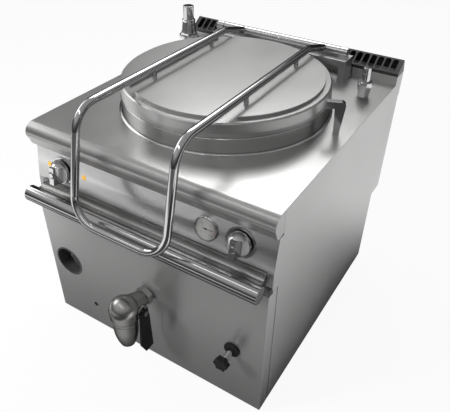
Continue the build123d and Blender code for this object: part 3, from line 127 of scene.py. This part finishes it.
def makeSmudges():
    group, start, end = newGroup(
        "smudges",
        [("Size", "NodeSocketFloat", 5.0), ("Contrast", "NodeSocketFloat", 0.25)],
        [("Mask", "NodeSocketFloat")])
    link = group.links.new
    middle = 0.5  # the mask runs from 0 to 1 within the contrast on each side of it
    place = newNode(group, "TexCoord")
    noise = newNode(group, "TexNoise", {"Detail": 3.0, "Distortion": 0.4})
    low = newNode(group, "Math", {0: middle}, operation="SUBTRACT")
    high = newNode(group, "Math", {0: middle}, operation="ADD")
    spread = newNode(group, "MapRange")
    link(place.outputs["Object"], noise.inputs["Vector"])
    link(start.outputs["Size"], noise.inputs["Scale"])
    link(start.outputs["Contrast"], low.inputs[1])
    link(start.outputs["Contrast"], high.inputs[1])
    link(noise.outputs["Fac"], spread.inputs["Value"])
    link(low.outputs[0], spread.inputs["From Min"])
    link(high.outputs[0], spread.inputs["From Max"])
    link(spread.outputs["Result"], end.inputs["Mask"])
    return group


def makePits():
    group, start, end = newGroup(
        "mouldedPits",
        [("Size", "NodeSocketFloat", 300.0), ("Depth", "NodeSocketFloat", 0.1)],
        [("Normal", "NodeSocketVector")])
    link = group.links.new
    place = newNode(group, "TexCoord")
    noise = newNode(group, "TexNoise", {"Detail": 2.0})
    bump = newNode(group, "Bump", {"Distance": 0.0003})
    link(place.outputs["Object"], noise.inputs["Vector"])
    link(start.outputs["Size"], noise.inputs["Scale"])
    link(noise.outputs["Fac"], bump.inputs["Height"])
    link(start.outputs["Depth"], bump.inputs["Strength"])
    link(bump.outputs["Normal"], end.inputs["Normal"])
    return group


def makeEdgeWear():
    group, start, end = newGroup(
        "edgeWear",
        [("Width", "NodeSocketFloat", 0.0012), ("Normal", "NodeSocketVector", (0.0, 0.0, 0.0))],
        [("Mask", "NodeSocketFloat"), ("Normal", "NodeSocketVector")])
    link = group.links.new
    bevel = newNode(group, "Bevel", samples=4)
    geometry = newNode(group, "NewGeometry")
    facing = newNode(group, "VectorMath", operation="DOT_PRODUCT")
    # wear begins where the rounded normal leans about 11 degrees from the face, and is full at 35
    mask = newNode(group, "MapRange", {"From Min": 0.98, "From Max": 0.82})
    link(start.outputs["Width"], bevel.inputs["Radius"])
    link(start.outputs["Normal"], bevel.inputs["Normal"])
    link(bevel.outputs["Normal"], facing.inputs[0])
    link(geometry.outputs["Normal"], facing.inputs[1])
    link(facing.outputs["Value"], mask.inputs["Value"])
    link(mask.outputs["Result"], end.inputs["Mask"])
    link(bevel.outputs["Normal"], end.inputs["Normal"])
    return group


def makeDust():
    group, start, end = newGroup(
        "settledDust",
        [("Amount", "NodeSocketFloat", 0.1), ("Grain", "NodeSocketFloat", 60.0)],
        [("Mask", "NodeSocketFloat")])
    link = group.links.new
    place = newNode(group, "TexCoord")
    geometry = newNode(group, "NewGeometry")
    axes = newNode(group, "SeparateXYZ")
    noise = newNode(group, "TexNoise", {"Detail": 5.0})
    up = newNode(group, "MapRange", {"From Min": 0.2, "From Max": 1.0})
    patchy = newNode(group, "Math", operation="MULTIPLY")
    scaled = newNode(group, "Math", operation="MULTIPLY")
    link(place.outputs["Object"], noise.inputs["Vector"])
    link(start.outputs["Grain"], noise.inputs["Scale"])
    link(geometry.outputs["Normal"], axes.inputs[0])
    link(axes.outputs["Z"], up.inputs["Value"])
    link(up.outputs["Result"], patchy.inputs[0])
    link(noise.outputs["Fac"], patchy.inputs[1])
    link(patchy.outputs[0], scaled.inputs[0])
    link(start.outputs["Amount"], scaled.inputs[1])
    link(scaled.outputs[0], end.inputs["Mask"])
    return group


brushing = makeBrushing()
smudges = makeSmudges()
mouldedPits = makePits()
edgeWear = makeEdgeWear()
settledDust = makeDust()
print("shader groups made")


class Recipe:
    # a material with its shader, and short ways to add and join its nodes
    def __init__(self, name):
        self.material = bpy.data.materials.new(name)
        self.material.use_nodes = True
        self.tree = self.material.node_tree
        self.link = self.tree.links.new
        self.shader = self.tree.nodes["Principled BSDF"]

    def plain(self, values):
        # what is the same all over goes on the shader's own sockets
        for label, value in values.items():
            self.shader.inputs[label].default_value = value

    def group(self, source, **values):
        return newNode(self.tree, "Group", values, node_tree=source)

    def mix(self, mask, first, second):
        # from one colour to another by the mask
        node = newNode(self.tree, "Mix", {"A": (*first, 1.0), "B": (*second, 1.0)}, data_type="RGBA")
        self.link(mask, node.inputs["Factor"])
        return node.outputs["Result"]

    def layer(self, base, mask, colour):
        # the colour over what is there already, by the mask
        node = newNode(self.tree, "Mix", {"B": (*colour, 1.0)}, data_type="RGBA")
        self.link(base, node.inputs["A"])
        self.link(mask, node.inputs["Factor"])
        return node.outputs["Result"]

    def spread(self, mask, limits):
        node = newNode(self.tree, "MapRange", {"To Min": limits[0], "To Max": limits[1]})
        self.link(mask, node.inputs["Value"])
        return node.outputs["Result"]

    def join(self, output, socket):
        self.link(output, self.shader.inputs[socket])


# Finishes: each look below is a dictionary for one of these

steelValues = {
    "grainTurn": 0.25,  # a quarter turn from the tangent
    "smudgeContrast": 0.22,
    "dustTint": (0.42, 0.41, 0.39),
}


def steel(name, values):
    recipe = Recipe(name)
    recipe.plain({
        "Metallic": values["metallic"],
        "Anisotropic": values["anisotropy"],
        "Anisotropic Rotation": steelValues["grainTurn"],
        "Specular Tint": (*values["grazing"], 1.0),
    })
    grain = recipe.group(brushing, Stretch=values["stretch"], Depth=values["grainDepth"])
    marks = recipe.group(smudges, Size=values["smudgeSize"], Contrast=steelValues["smudgeContrast"])
    wear = recipe.group(edgeWear, Width=values["edgeWidth"])
    dust = recipe.group(settledDust, Amount=values["dust"])
    recipe.link(grain.outputs["Normal"], wear.inputs["Normal"])
    dark = [c * (1.0 - values["grainContrast"]) for c in values["tint"]]
    light = [c * (1.0 + values["grainContrast"]) for c in values["tint"]]
    base = recipe.mix(grain.outputs["Mask"], dark, light)
    worn = recipe.layer(base, wear.outputs["Mask"], values["edgeTint"])
    dusty = recipe.layer(worn, dust.outputs["Mask"], steelValues["dustTint"])
    recipe.join(dusty, "Base Color")
    recipe.join(recipe.spread(marks.outputs["Mask"], values["roughness"]), "Roughness")
    recipe.join(wear.outputs["Normal"], "Normal")
    if values["anisotropy"] > 0.0:
        tangent = newNode(recipe.tree, "Tangent", direction_type="RADIAL", axis=values["turnAxis"])
        recipe.join(tangent.outputs["Tangent"], "Tangent")
    return recipe.material


plasticValues = {"smudgeSize": 18.0, "smudgeContrast": 0.2, "edgeWidth": 0.001}


def plastic(name, values):
    recipe = Recipe(name)
    recipe.plain({"Specular IOR Level": values["gloss"]})
    pits = recipe.group(mouldedPits, Size=values["pitSize"], Depth=values["pitDepth"])
    marks = recipe.group(
        smudges, Size=plasticValues["smudgeSize"], Contrast=plasticValues["smudgeContrast"])
    wear = recipe.group(edgeWear, Width=plasticValues["edgeWidth"])
    recipe.link(pits.outputs["Normal"], wear.inputs["Normal"])
    base = recipe.mix(marks.outputs["Mask"], values["tint"], values["fadedTint"])
    worn = recipe.layer(base, wear.outputs["Mask"], values["edgeTint"])
    recipe.join(worn, "Base Color")
    recipe.join(recipe.spread(marks.outputs["Mask"], values["roughness"]), "Roughness")
    recipe.join(wear.outputs["Normal"], "Normal")
    return recipe.material


def glass(name, values):
    recipe = Recipe(name)
    recipe.plain({
        "Base Color": (*values["tint"], 1.0),
        "Transmission Weight": 1.0,
        "IOR": values["ior"],
    })
    marks = recipe.group(smudges, Size=values["smudgeSize"], Contrast=values["smudgeContrast"])
    recipe.join(recipe.spread(marks.outputs["Mask"], values["roughness"]), "Roughness")
    return recipe.material


def dress(names, material):
    for name in names:
        slots = nodes[name].data.materials
        slots.clear()
        slots.append(material)


# Worktop and its rounded nose: satin sheet, brushed from side to side

worktopLook = {
    "metallic": 0.88,
    "tint": (0.50, 0.50, 0.495),
    "grazing": (1.0, 1.0, 1.0),  # how much of the shine stays at a grazing angle
    "edgeTint": (0.68, 0.68, 0.68),
    "roughness": (0.28, 0.35),
    "anisotropy": 0.35,
    "turnAxis": "Y",  # the tangent runs round this axis
    "stretch": (4.0, 420.0, 420.0),
    "grainDepth": 0.06,
    "grainContrast": 0.05,
    "smudgeSize": 4.0,
    "edgeWidth": 0.0012,
    "dust": 0.05,
}
dress(["worktop"], steel("worktopSteel", worktopLook))

# Front, control panel and sides: the same sheet, brushed level

panelLook = {
    "metallic": 0.87,
    "tint": (0.60, 0.60, 0.595),
    "grazing": (1.0, 1.0, 1.0),
    "edgeTint": (0.70, 0.70, 0.70),
    "roughness": (0.30, 0.36),
    "anisotropy": 0.7,
    "turnAxis": "Z",
    "stretch": (5.0, 5.0, 520.0),
    "grainDepth": 0.08,
    "grainContrast": 0.06,
    "smudgeSize": 3.0,
    "edgeWidth": 0.0012,
    "dust": 0.0,
}
dress(
    ["front_panel", "left_side_panel", "right_side_panel", "rear_panel", "rear_upstand",
     "drain_access_plate"],
    steel("panelSteel", panelLook))

# painted light: the control panel is the same sheet, given a brighter copy of its finish
controlLitLook = dict(panelLook, metallic=0.98, tint=(0.80, 0.80, 0.795), roughness=(0.24, 0.30))
dress(["control_panel"], steel("controlSteelPaintedLight", controlLitLook))
# painted shade: the rounded cove below it gets a darker copy of the same steel
coveShadedLook = dict(controlLitLook, tint=(0.42, 0.42, 0.415))
dress(["rail_cove"], steel("coveSteelPaintedShade", coveShadedLook))

# Slotted vent, hinge bridge, hinge tube and its bearing rings

ventLook = dict(
    panelLook, tint=(0.10, 0.10, 0.10), edgeTint=(0.2, 0.2, 0.2), roughness=(0.34, 0.42), anisotropy=0.0)
dress(["vent_grille"], steel("ventSteel", ventLook))

bridgeLook = dict(panelLook, tint=(0.66, 0.66, 0.66), anisotropy=0.4, turnAxis="Y")
dress(["hinge_bridge"], steel("bridgeSteel", bridgeLook))
hingeLook = dict(bridgeLook, metallic=0.9, roughness=(0.2, 0.28))
dress(["hinge_tube", "hinge_bearings"], steel("hingeSteel", hingeLook))

# Lid: satin, brushed from front to back

lidLook = dict(
    worktopLook, metallic=0.82, tint=(0.49, 0.49, 0.485), roughness=(0.26, 0.32),
    stretch=(520.0, 6.0, 520.0), grainDepth=0.03)
dress(["lid_shell"], steel("lidSteel", lidLook))

# Collar, rail, handle and the other polished pieces

polishedLook = {
    "metallic": 1.0,
    "tint": (0.70, 0.70, 0.70),
    "grazing": (0.22, 0.22, 0.22),
    "edgeTint": (0.86, 0.86, 0.86),
    "roughness": (0.04, 0.09),
    "anisotropy": 0.0,
    "turnAxis": "Z",
    "stretch": (60.0, 60.0, 700.0),
    "grainDepth": 0.03,
    "grainContrast": 0.03,
    "smudgeSize": 9.0,
    "edgeWidth": 0.0008,
    "dust": 0.0,
}
dress(
    ["lid_handle", "knob_bezels", "gauge_case", "level_tap_body", "levelling_feet", "rear_screws"],
    steel("polishedSteel", polishedLook))

railLook = dict(polishedLook, tint=(0.56, 0.56, 0.56), roughness=(0.08, 0.14), stretch=(3.0, 500.0, 500.0))
dress(["front_rail"], steel("railSteel", railLook))

collarLook = dict(
    polishedLook, tint=(0.62, 0.62, 0.615), roughness=(0.18, 0.25), stretch=(6.0, 6.0, 420.0),
    grainDepth=0.02)
dress(["kettle_collar", "vessel"], steel("collarSteel", collarLook))

columnLook = dict(polishedLook, tint=(0.76, 0.76, 0.76), grazing=(0.6, 0.6, 0.6), roughness=(0.10, 0.16))
dress(["safety_valve", "safety_cap", "vent_column", "water_spout"], steel("columnSteel", columnLook))

# Drain tap: a cast body ground to a soft shine

tapLook = dict(
    polishedLook, tint=(0.56, 0.555, 0.54), roughness=(0.26, 0.33), stretch=(90.0, 90.0, 90.0),
    grainDepth=0.10)
dress(["drain_tap_body", "drain_ball"], steel("tapSteel", tapLook))
nutLook = dict(tapLook, tint=(0.62, 0.62, 0.61), roughness=(0.20, 0.28))
dress(["drain_nut"], steel("nutSteel", nutLook))

# Knobs: bright plated castings

knobLook = dict(polishedLook, tint=(0.78, 0.78, 0.78), roughness=(0.10, 0.16))
dress(["gas_knob", "water_knob"], steel("knobMetal", knobLook))

# Pieces inside the cabinet

innerLook = dict(panelLook, tint=(0.40, 0.40, 0.40), roughness=(0.35, 0.5), anisotropy=0.0)
dress(
    ["burner", "combustion_chamber", "flue_duct", "jacket", "drain_strainer", "lid_inner_pan"],
    steel("innerSheet", innerLook))

pipeLook = dict(innerLook, tint=(0.36, 0.36, 0.36), roughness=(0.3, 0.4), stretch=(50.0, 50.0, 50.0))
dress(["column_pipes", "drain_pipe", "gas_pipes", "water_pipes"], steel("pipeSteel", pipeLook))

brassLook = dict(innerLook, tint=(0.60, 0.42, 0.16), edgeTint=(0.75, 0.58, 0.28), roughness=(0.25, 0.4))
dress(["gas_spindle", "gas_valve", "pilot_burner", "water_valve"], steel("turnedBrass", brassLook))

paintLook = {
    "tint": (0.10, 0.10, 0.105),
    "fadedTint": (0.15, 0.15, 0.155),
    "edgeTint": (0.25, 0.25, 0.25),
    "gloss": 0.5,
    "roughness": (0.35, 0.5),
    "pitSize": 300.0,
    "pitDepth": 0.1,
}
dress(["base_frame", "rail_brackets"], plastic("framePaint", paintLook))

# Black parts: lever, knob and flange of the level tap, sight port and lid seal

blackLook = {
    "tint": (0.008, 0.008, 0.008),
    "fadedTint": (0.022, 0.022, 0.022),
    "edgeTint": (0.06, 0.06, 0.06),
    "gloss": 0.22,
    "roughness": (0.35, 0.5),
    "pitSize": 900.0,
    "pitDepth": 0.15,
}
dress(["drain_lever", "level_flange", "level_knob"], plastic("blackPlastic", blackLook))

portLook = dict(
    blackLook, tint=(0.045, 0.045, 0.046), fadedTint=(0.075, 0.075, 0.076), edgeTint=(0.16, 0.16, 0.16),
    roughness=(0.22, 0.32))
dress(["sight_port"], plastic("portEnamel", portLook))

sealLook = dict(blackLook, roughness=(0.6, 0.75))
dress(["lid_seal"], plastic("siliconeSeal", sealLook))

# Mineral wool round the jacket

woolLook = dict(
    blackLook, tint=(0.55, 0.50, 0.36), fadedTint=(0.68, 0.63, 0.48), edgeTint=(0.6, 0.55, 0.4),
    roughness=(0.8, 0.95), pitSize=120.0, pitDepth=0.8)
dress(["insulation_band"], plastic("mineralWool", woolLook))

# Pressure gauge

dialLook = dict(
    blackLook, tint=(0.60, 0.59, 0.57), fadedTint=(0.52, 0.51, 0.49), edgeTint=(0.6, 0.6, 0.58),
    pitDepth=0.02)
dress(["gauge_dial"], plastic("dialEnamel", dialLook))

needleLook = dict(blackLook, roughness=(0.3, 0.4), pitDepth=0.02)
dress(["gauge_needle"], plastic("needleLacquer", needleLook))

glassLook = {
    "tint": (0.96, 0.97, 0.97), "ior": 1.45, "roughness": (0.0, 0.03), "smudgeSize": 60.0,
    "smudgeContrast": 0.2,
}
dress(["gauge_glass"], glass("gaugeGlass", glassLook))
print("CAD pieces dressed")

# Small pieces of the front, each on the body that carries it

faceValues = {"y": -0.35345, "z": 0.607, "tilt": 9.4}  # the control panel's sloping face


def facePlace(x, z, out=0.0):
    # x runs along the control panel, y up its slope and z out of it
    tilt = math.radians(faceValues["tilt"])
    outward = Vector((0.0, -math.cos(tilt), math.sin(tilt)))
    upward = Vector((0.0, math.sin(tilt), math.cos(tilt)))
    turn = Matrix((Vector((1.0, 0.0, 0.0)), upward, outward)).transposed().to_4x4()
    y = faceValues["y"] + (z - faceValues["z"]) * math.tan(tilt)
    return Matrix.Translation(Vector((x, y, z)) + outward * out) @ turn


def frontPlace(x, y, z):
    # x runs along the lower front, y up it and z out of it
    turn = Matrix(((1.0, 0.0, 0.0), (0.0, 0.0, -1.0), (0.0, 1.0, 0.0))).to_4x4()
    return Matrix.Translation(Vector((x, y, z))) @ turn


def arcPoints(radius, first, last, steps):
    # points on a circle from the first angle to the last
    angles = [first + (last - first) * step / steps for step in range(steps + 1)]
    return [(radius * math.cos(a), radius * math.sin(a)) for a in angles]


def turned(build, outline, place, steps=40):
    # turns (radius, height) points about the z axis of the place
    rings = []
    for radius, height in outline:
        circle = [(0.0, 0.0)] if radius == 0.0 else arcPoints(radius, 0.0, 2.0 * math.pi, steps)[:-1]
        rings.append([build.verts.new(place @ Vector((u, v, height))) for u, v in circle])
    for inner, outer in zip(rings, rings[1:]):
        for step in range(steps):
            following = (step + 1) % steps
            corners = [
                inner[step % len(inner)], outer[step % len(outer)],
                outer[following % len(outer)], inner[following % len(inner)]]
            build.faces.new(list(dict.fromkeys(corners)))


def slab(build, outline, place, thickness):
    # a flat plate with the given outline
    low = [build.verts.new(place @ Vector((u, v, 0.0))) for u, v in outline]
    high = [build.verts.new(place @ Vector((u, v, thickness))) for u, v in outline]
    build.faces.new(low[::-1])
    build.faces.new(high)
    for step in range(len(outline)):
        following = (step + 1) % len(outline)
        build.faces.new([low[step], low[following], high[following], high[step]])


def addPiece(name, build, material, body, smooth=True):
    mesh = bpy.data.meshes.new(name)
    bmesh.ops.recalc_face_normals(build, faces=build.faces)
    build.to_mesh(mesh)
    build.free()
    for face in mesh.polygons:
        face.use_smooth = smooth
    mesh.materials.append(material)
    piece = bpy.data.objects.new(name, mesh)
    scene.collection.objects.link(piece)
    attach(piece, body)
    return piece


# Two enamel marks, one on each side of the gas knob

markValues = {
    "radius": 0.0082, "height": 0.0009,
    "profile": [(0.0, 1.0), (0.55, 0.9), (0.86, 0.6), (1.0, 0.0)],  # shares of radius and height
    "centres": (-0.3515, -0.216), "level": 0.607, "out": 0.0001,
}
markLook = dict(
    blackLook, tint=(0.87, 0.47, 0.085), fadedTint=(0.84, 0.42, 0.07), edgeTint=(0.9, 0.55, 0.16),
    roughness=(0.25, 0.4), pitDepth=0.05)


def enamelMarks(values):
    build = bmesh.new()
    outline = [(values["radius"] * across, values["height"] * up) for across, up in values["profile"]]
    for centre in values["centres"]:
        turned(build, outline, facePlace(centre, values["level"], values["out"]))
    return addPiece("enamelMarks", build, plastic("markEnamel", markLook), "cabinet")


dress(["colour_marks"], plastic("markBase", markLook))
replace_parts(enamelMarks(markValues), "colour_marks")

# Pale inlays in the two pockets of each knob

inlayValues = {
    "radius": 0.0316, "inner": 0.0089, "brow": 0.0226, "out": 0.00932, "thickness": 0.0005,
    "arcSteps": 20,
    "knobs": {
        "gasKnobInlays": (-0.3, 0.601, "gas_grip"),
        "waterKnobInlays": (0.3, 0.607, "water_grip"),
    },
}
inlayLook = dict(
    blackLook, tint=(0.92, 0.92, 0.915), fadedTint=(0.86, 0.86, 0.855), edgeTint=(0.93, 0.93, 0.93),
    roughness=(0.3, 0.45), pitSize=400.0)


def knobInlays(name, x, z, body, values, material):
    build = bmesh.new()
    radius, inner, brow = values["radius"], values["inner"], values["brow"]
    arc = arcPoints(radius, math.asin(brow / radius), -math.acos(inner / radius), values["arcSteps"])
    for side in (1.0, -1.0):
        outline = [(side * inner, brow)] + [(side * u, v) for u, v in arc]
        slab(build, outline, facePlace(x, z, values["out"]), values["thickness"])
    addPiece(name, build, material, body, smooth=False)


inlayMaterial = plastic("inlayEnamel", inlayLook)
for inlayName, (x, z, body) in inlayValues["knobs"].items():
    knobInlays(inlayName, x, z, body, inlayValues, inlayMaterial)

# Gauge scale: ticks, numbers and the band at its upper end

scaleValues = {
    "centre": (0.2, 0.607), "out": 0.00203, "thickness": 0.00012,
    "start": 225.0, "step": -9.0, "ticks": 30, "longEvery": 5,
    "outer": 0.0285, "short": 0.0018, "long": 0.0036, "width": 0.00035,
    "numbers": {0: "0", 10: "0.2", 20: "0.4", 30: "0.6"}, "numberRadius": 0.0195, "numberSize": 0.0055,
    "bandTicks": (22, 30), "bandRadii": (0.0252, 0.0262), "bandSteps": 24,
}
inkLook = dict(blackLook, roughness=(0.5, 0.6))
bandLook = dict(
    blackLook, tint=(0.50, 0.05, 0.03), fadedTint=(0.42, 0.05, 0.035), edgeTint=(0.5, 0.08, 0.06),
    roughness=(0.5, 0.6))


def scaleAngle(values, tick):
    return math.radians(values["start"] + values["step"] * tick)


def scaleTicks(build, place, values):
    outer, half = values["outer"], values["width"] / 2
    for tick in range(values["ticks"] + 1):
        inner = outer - values["long" if tick % values["longEvery"] == 0 else "short"]
        outline = [(inner, -half), (outer, -half), (outer, half), (inner, half)]
        turn = Matrix.Rotation(scaleAngle(values, tick), 4, "Z")
        slab(build, outline, place @ turn, values["thickness"])


def scaleNumbers(build, place, values):
    for tick, words in values["numbers"].items():
        curve = bpy.data.curves.new("gaugeNumber", "FONT")
        curve.body = words
        curve.size = values["numberSize"]
        curve.align_x = "CENTER"
        curve.align_y = "CENTER"
        number = bpy.data.objects.new("gaugeNumber", curve)
        mesh = bpy.data.meshes.new_from_object(number)
        angle = scaleAngle(values, tick)
        at = Vector((math.cos(angle), math.sin(angle), 0.0)) * values["numberRadius"]
        at.z = values["thickness"] / 2
        mesh.transform(place @ Matrix.Translation(at))
        build.from_mesh(mesh)
        bpy.data.objects.remove(number)
        bpy.data.meshes.remove(mesh)
        bpy.data.curves.remove(curve)


def gaugeScale(values):
    build = bmesh.new()
    place = facePlace(*values["centre"], values["out"])
    scaleTicks(build, place, values)
    scaleNumbers(build, place, values)
    addPiece("gaugeScale", build, plastic("scaleInk", inkLook), "cabinet", smooth=False)


def gaugeBand(values):
    build = bmesh.new()
    first, last = (scaleAngle(values, tick) for tick in values["bandTicks"])
    low, high = (arcPoints(radius, first, last, values["bandSteps"]) for radius in values["bandRadii"])
    slab(build, high + low[::-1], facePlace(*values["centre"], values["out"]), values["thickness"])
    addPiece("gaugeBand", build, plastic("bandInk", bandLook), "cabinet", smooth=False)


gaugeScale(scaleValues)
gaugeBand(scaleValues)

# Retaining ring of the burner port, and a black grommet in the small hole beside the tap; its closed black
# middle is painted shade for the dark inside of the hole

portRingValues = {
    "centre": (-0.316, -0.35125, 0.259),
    "outline": [
        (0.0, 0.0006), (0.0200, 0.0012), (0.0215, 0.0040), (0.0270, 0.0048), (0.0300, 0.0030),
        (0.0310, 0.0)],
}
portRingLook = dict(polishedLook, tint=(0.30, 0.30, 0.305), roughness=(0.18, 0.26))

grommetValues = {
    "centre": (-0.234, -0.37925, 0.102),
    "outline": [
        (0.0, -0.0012), (0.0040, -0.0010), (0.0048, 0.0004), (0.0060, 0.0012), (0.0074, 0.0010),
        (0.0080, 0.0)],
}


def frontRing(name, values, material):
    build = bmesh.new()
    turned(build, values["outline"], frontPlace(*values["centre"]))
    addPiece(name, build, material, "cabinet")


frontRing("portRing", portRingValues, steel("portRingSteel", portRingLook))
frontRing("peepGrommet", grommetValues, plastic("grommetRubberAndHoleShade", sealLook))
print("small pieces placed")


# Studio: pale floor, soft lamps, and dark cards that only the metal sees

floorValues = {
    "half": 9.0, "tint": (0.74, 0.74, 0.74), "roughness": 0.9, "cameraGlow": 0.93, "metalGlow": 0.85,
    "centre": (-0.09, -0.03, 0.0), "foot": (0.38, 0.36, 0.0),  # the footprint's middle and half size
    "reach": (0.10, 0.60), "darkest": 0.03,  # painted shade round the footprint, seen by metal and glass only
    "edge": (2.4, 3.4), "beyond": 0.10,  # painted shade: from here the floor seen by metal and glass goes dark, standing for a dark room
}


def paintedFloorShade(tree, values):
    # painted shade: dark beside the footprint, full where that shade ends, dark again out in the room
    link = tree.links.new
    place = newNode(tree, "TexCoord")
    centred = newNode(tree, "VectorMath", {1: values["centre"]}, operation="SUBTRACT")
    size = newNode(tree, "VectorMath", operation="ABSOLUTE")
    past = newNode(tree, "VectorMath", {1: values["foot"]}, operation="SUBTRACT")
    outside = newNode(tree, "VectorMath", operation="MAXIMUM")
    away = newNode(tree, "VectorMath", operation="LENGTH")
    near, full = values["reach"]
    fade = newNode(
        tree, "MapRange", {"From Min": near, "From Max": full, "To Min": values["darkest"]},
        interpolation_type="SMOOTHSTEP")
    ends, dark = values["edge"]
    far = newNode(
        tree, "MapRange", {"From Min": ends, "From Max": dark, "To Min": 1.0, "To Max": values["beyond"]},
        interpolation_type="SMOOTHSTEP")
    both = newNode(tree, "Math", operation="MULTIPLY")
    link(place.outputs["Object"], centred.inputs[0])
    link(centred.outputs[0], size.inputs[0])
    link(size.outputs[0], past.inputs[0])
    link(past.outputs[0], outside.inputs[0])
    link(outside.outputs[0], away.inputs[0])
    link(away.outputs["Value"], fade.inputs["Value"])
    link(away.outputs["Value"], far.inputs["Value"])
    link(fade.outputs["Result"], both.inputs[0])
    link(far.outputs["Result"], both.inputs[1])
    return both.outputs[0]


def glowMix(tree, shader, values):
    # white for the camera, and the white floor with its painted soft shade for metal and glass
    link = tree.links.new
    path = newNode(tree, "LightPath")
    seen = newNode(tree, "Math", {1: values["cameraGlow"]}, operation="MULTIPLY")
    through = newNode(tree, "Math", operation="MAXIMUM")
    mirrored = newNode(tree, "Math", {1: values["metalGlow"]}, operation="MULTIPLY")
    share = newNode(tree, "Math", operation="MAXIMUM")
    strength = newNode(tree, "Math", operation="MAXIMUM")
    glow = newNode(tree, "Emission")
    mixed = newNode(tree, "MixShader")
    link(path.outputs["Is Camera Ray"], seen.inputs[0])
    link(path.outputs["Is Glossy Ray"], through.inputs[0])
    link(path.outputs["Is Transmission Ray"], through.inputs[1])
    link(through.outputs[0], mirrored.inputs[0])
    link(seen.outputs[0], share.inputs[0])
    link(mirrored.outputs[0], share.inputs[1])
    link(path.outputs["Is Camera Ray"], strength.inputs[0])
    link(paintedFloorShade(tree, values), strength.inputs[1])
    link(strength.outputs[0], glow.inputs["Strength"])
    link(share.outputs[0], mixed.inputs["Fac"])
    link(shader, mixed.inputs[1])
    link(glow.outputs[0], mixed.inputs[2])
    return mixed.outputs[0]


def plate(name, corners, material):
    mesh = bpy.data.meshes.new(name)
    mesh.from_pydata(corners, [], [(0, 1, 2, 3)])
    mesh.materials.append(material)
    sheet = bpy.data.objects.new(name, mesh)
    scene.collection.objects.link(sheet)
    return sheet


def makeFloor(values):
    paper = Recipe("floorPaper")
    paper.plain({
        "Base Color": (*values["tint"], 1.0),
        "Roughness": values["roughness"],
        "Specular IOR Level": 0.0,
    })
    mixed = glowMix(paper.tree, paper.shader.outputs[0], values)
    paper.link(mixed, paper.tree.nodes["Material Output"].inputs["Surface"])
    half = values["half"]
    corners = [(-half, -half, 0), (half, -half, 0), (half, half, 0), (-half, half, 0)]
    floor = plate("studioFloor", corners, paper.material)


makeFloor(floorValues)

cardValues = {
    "leftCard": {
        "corners": [(-3.2, 0.6, 0.0), (-3.0, 3.0, 0.0), (-3.0, 3.0, 3.0), (-3.2, 0.6, 3.0)],
        "grey": 0.04,
    },
    "backCard": {
        "corners": [(-0.5, 3.2, 0.0), (1.2, 3.2, 0.0), (1.2, 3.2, 2.8), (-0.5, 3.2, 2.8)],
        "grey": 0.04,
    },
    "frontCard": {
        "corners": [(0.75, -3.4, 0.01), (2.2, -3.4, 0.01), (2.2, -0.8, 0.01), (-1.6, -0.8, 0.01)],
        "grey": 0.05,
    },
}


def makeCard(name, values):
    paint = Recipe(name)
    paint.plain({"Base Color": (values["grey"],) * 3 + (1.0,), "Roughness": 1.0})
    card = plate(name, values["corners"], paint.material)
    card.visible_camera = False
    card.visible_shadow = False
    card.visible_diffuse = False


for cardName, cardSetting in cardValues.items():
    makeCard(cardName, cardSetting)

lampAim = (0.0, 0.0, 0.5)  # every lamp points about at the middle of the kettle
lampValues = {
    "backSoftbox": {"place": (-0.95, 2.1, 3.35), "size": (2.1, 1.4), "power": 45.0, "shine": True},
    "keyLamp": {"place": (-1.6, -2.4, 2.2), "size": (0.6, 0.6), "power": 85.0, "shine": False},
    "frontStrip": {"place": (-0.2, -1.3, 2.5), "size": (2.4, 0.2), "power": 3.2, "shine": True},
    "leftSoftbox": {"place": (-2.6, -0.2, 1.9), "size": (2.0, 1.4), "power": 18.0, "shine": True},
}


def makeLamp(name, values):
    data = bpy.data.lights.new(name, "AREA")
    data.shape = "RECTANGLE"
    data.size, data.size_y = values["size"]
    data.energy = values["power"]
    lamp = bpy.data.objects.new(name, data)
    scene.collection.objects.link(lamp)
    lamp.location = values["place"]
    lamp.visible_glossy = values["shine"]
    lamp.rotation_mode = "QUATERNION"
    lamp.rotation_quaternion = (Vector(lampAim) - Vector(values["place"])).to_track_quat("-Z", "Y")


for lampName, lampSetting in lampValues.items():
    makeLamp(lampName, lampSetting)

worldValues = {
    "background": 1.0,
    "levels": [(0.0, 0.04), (0.3, 0.18), (0.5, 0.44), (0.7, 0.46), (1.0, 0.36)],  # height, grey
    "sides": (1.15, 0.60),  # left, right
}


def makeWorld(values):
    world = bpy.data.worlds.new("studioWorld")
    scene.world = world
    world.use_nodes = True
    tree = world.node_tree
    link = tree.links.new
    place = newNode(tree, "TexCoord")
    axes = newNode(tree, "SeparateXYZ")
    ramp = newNode(tree, "ValToRGB")
    stops = ramp.color_ramp.elements
    while len(stops) < len(values["levels"]):
        stops.new(0.5)  # moved to its level below
    for stop, (height, grey) in zip(stops, values["levels"]):
        stop.position = height
        stop.color = (grey, grey, grey, 1.0)
    left, right = values["sides"]
    sides = newNode(tree, "MapRange", {"From Min": -1.0, "To Min": left, "To Max": right})
    shaded = newNode(tree, "VectorMath", operation="SCALE")
    path = newNode(tree, "LightPath")
    through = newNode(tree, "Math", operation="MAXIMUM")
    level = newNode(tree, "Mix", data_type="RGBA")
    level.inputs["B"].default_value = (values["background"],) * 3 + (1.0,)
    link(place.outputs["Generated"], axes.inputs[0])
    link(axes.outputs["Z"], ramp.inputs["Fac"])
    link(path.outputs["Is Camera Ray"], through.inputs[0])
    link(path.outputs["Is Transmission Ray"], through.inputs[1])
    link(through.outputs[0], level.inputs["Factor"])
    link(axes.outputs["X"], sides.inputs["Value"])
    link(ramp.outputs["Color"], shaded.inputs[0])
    link(sides.outputs["Result"], shaded.inputs["Scale"])
    link(shaded.outputs[0], level.inputs["A"])
    link(level.outputs["Result"], tree.nodes["Background"].inputs["Color"])


makeWorld(worldValues)
print("studio lit")
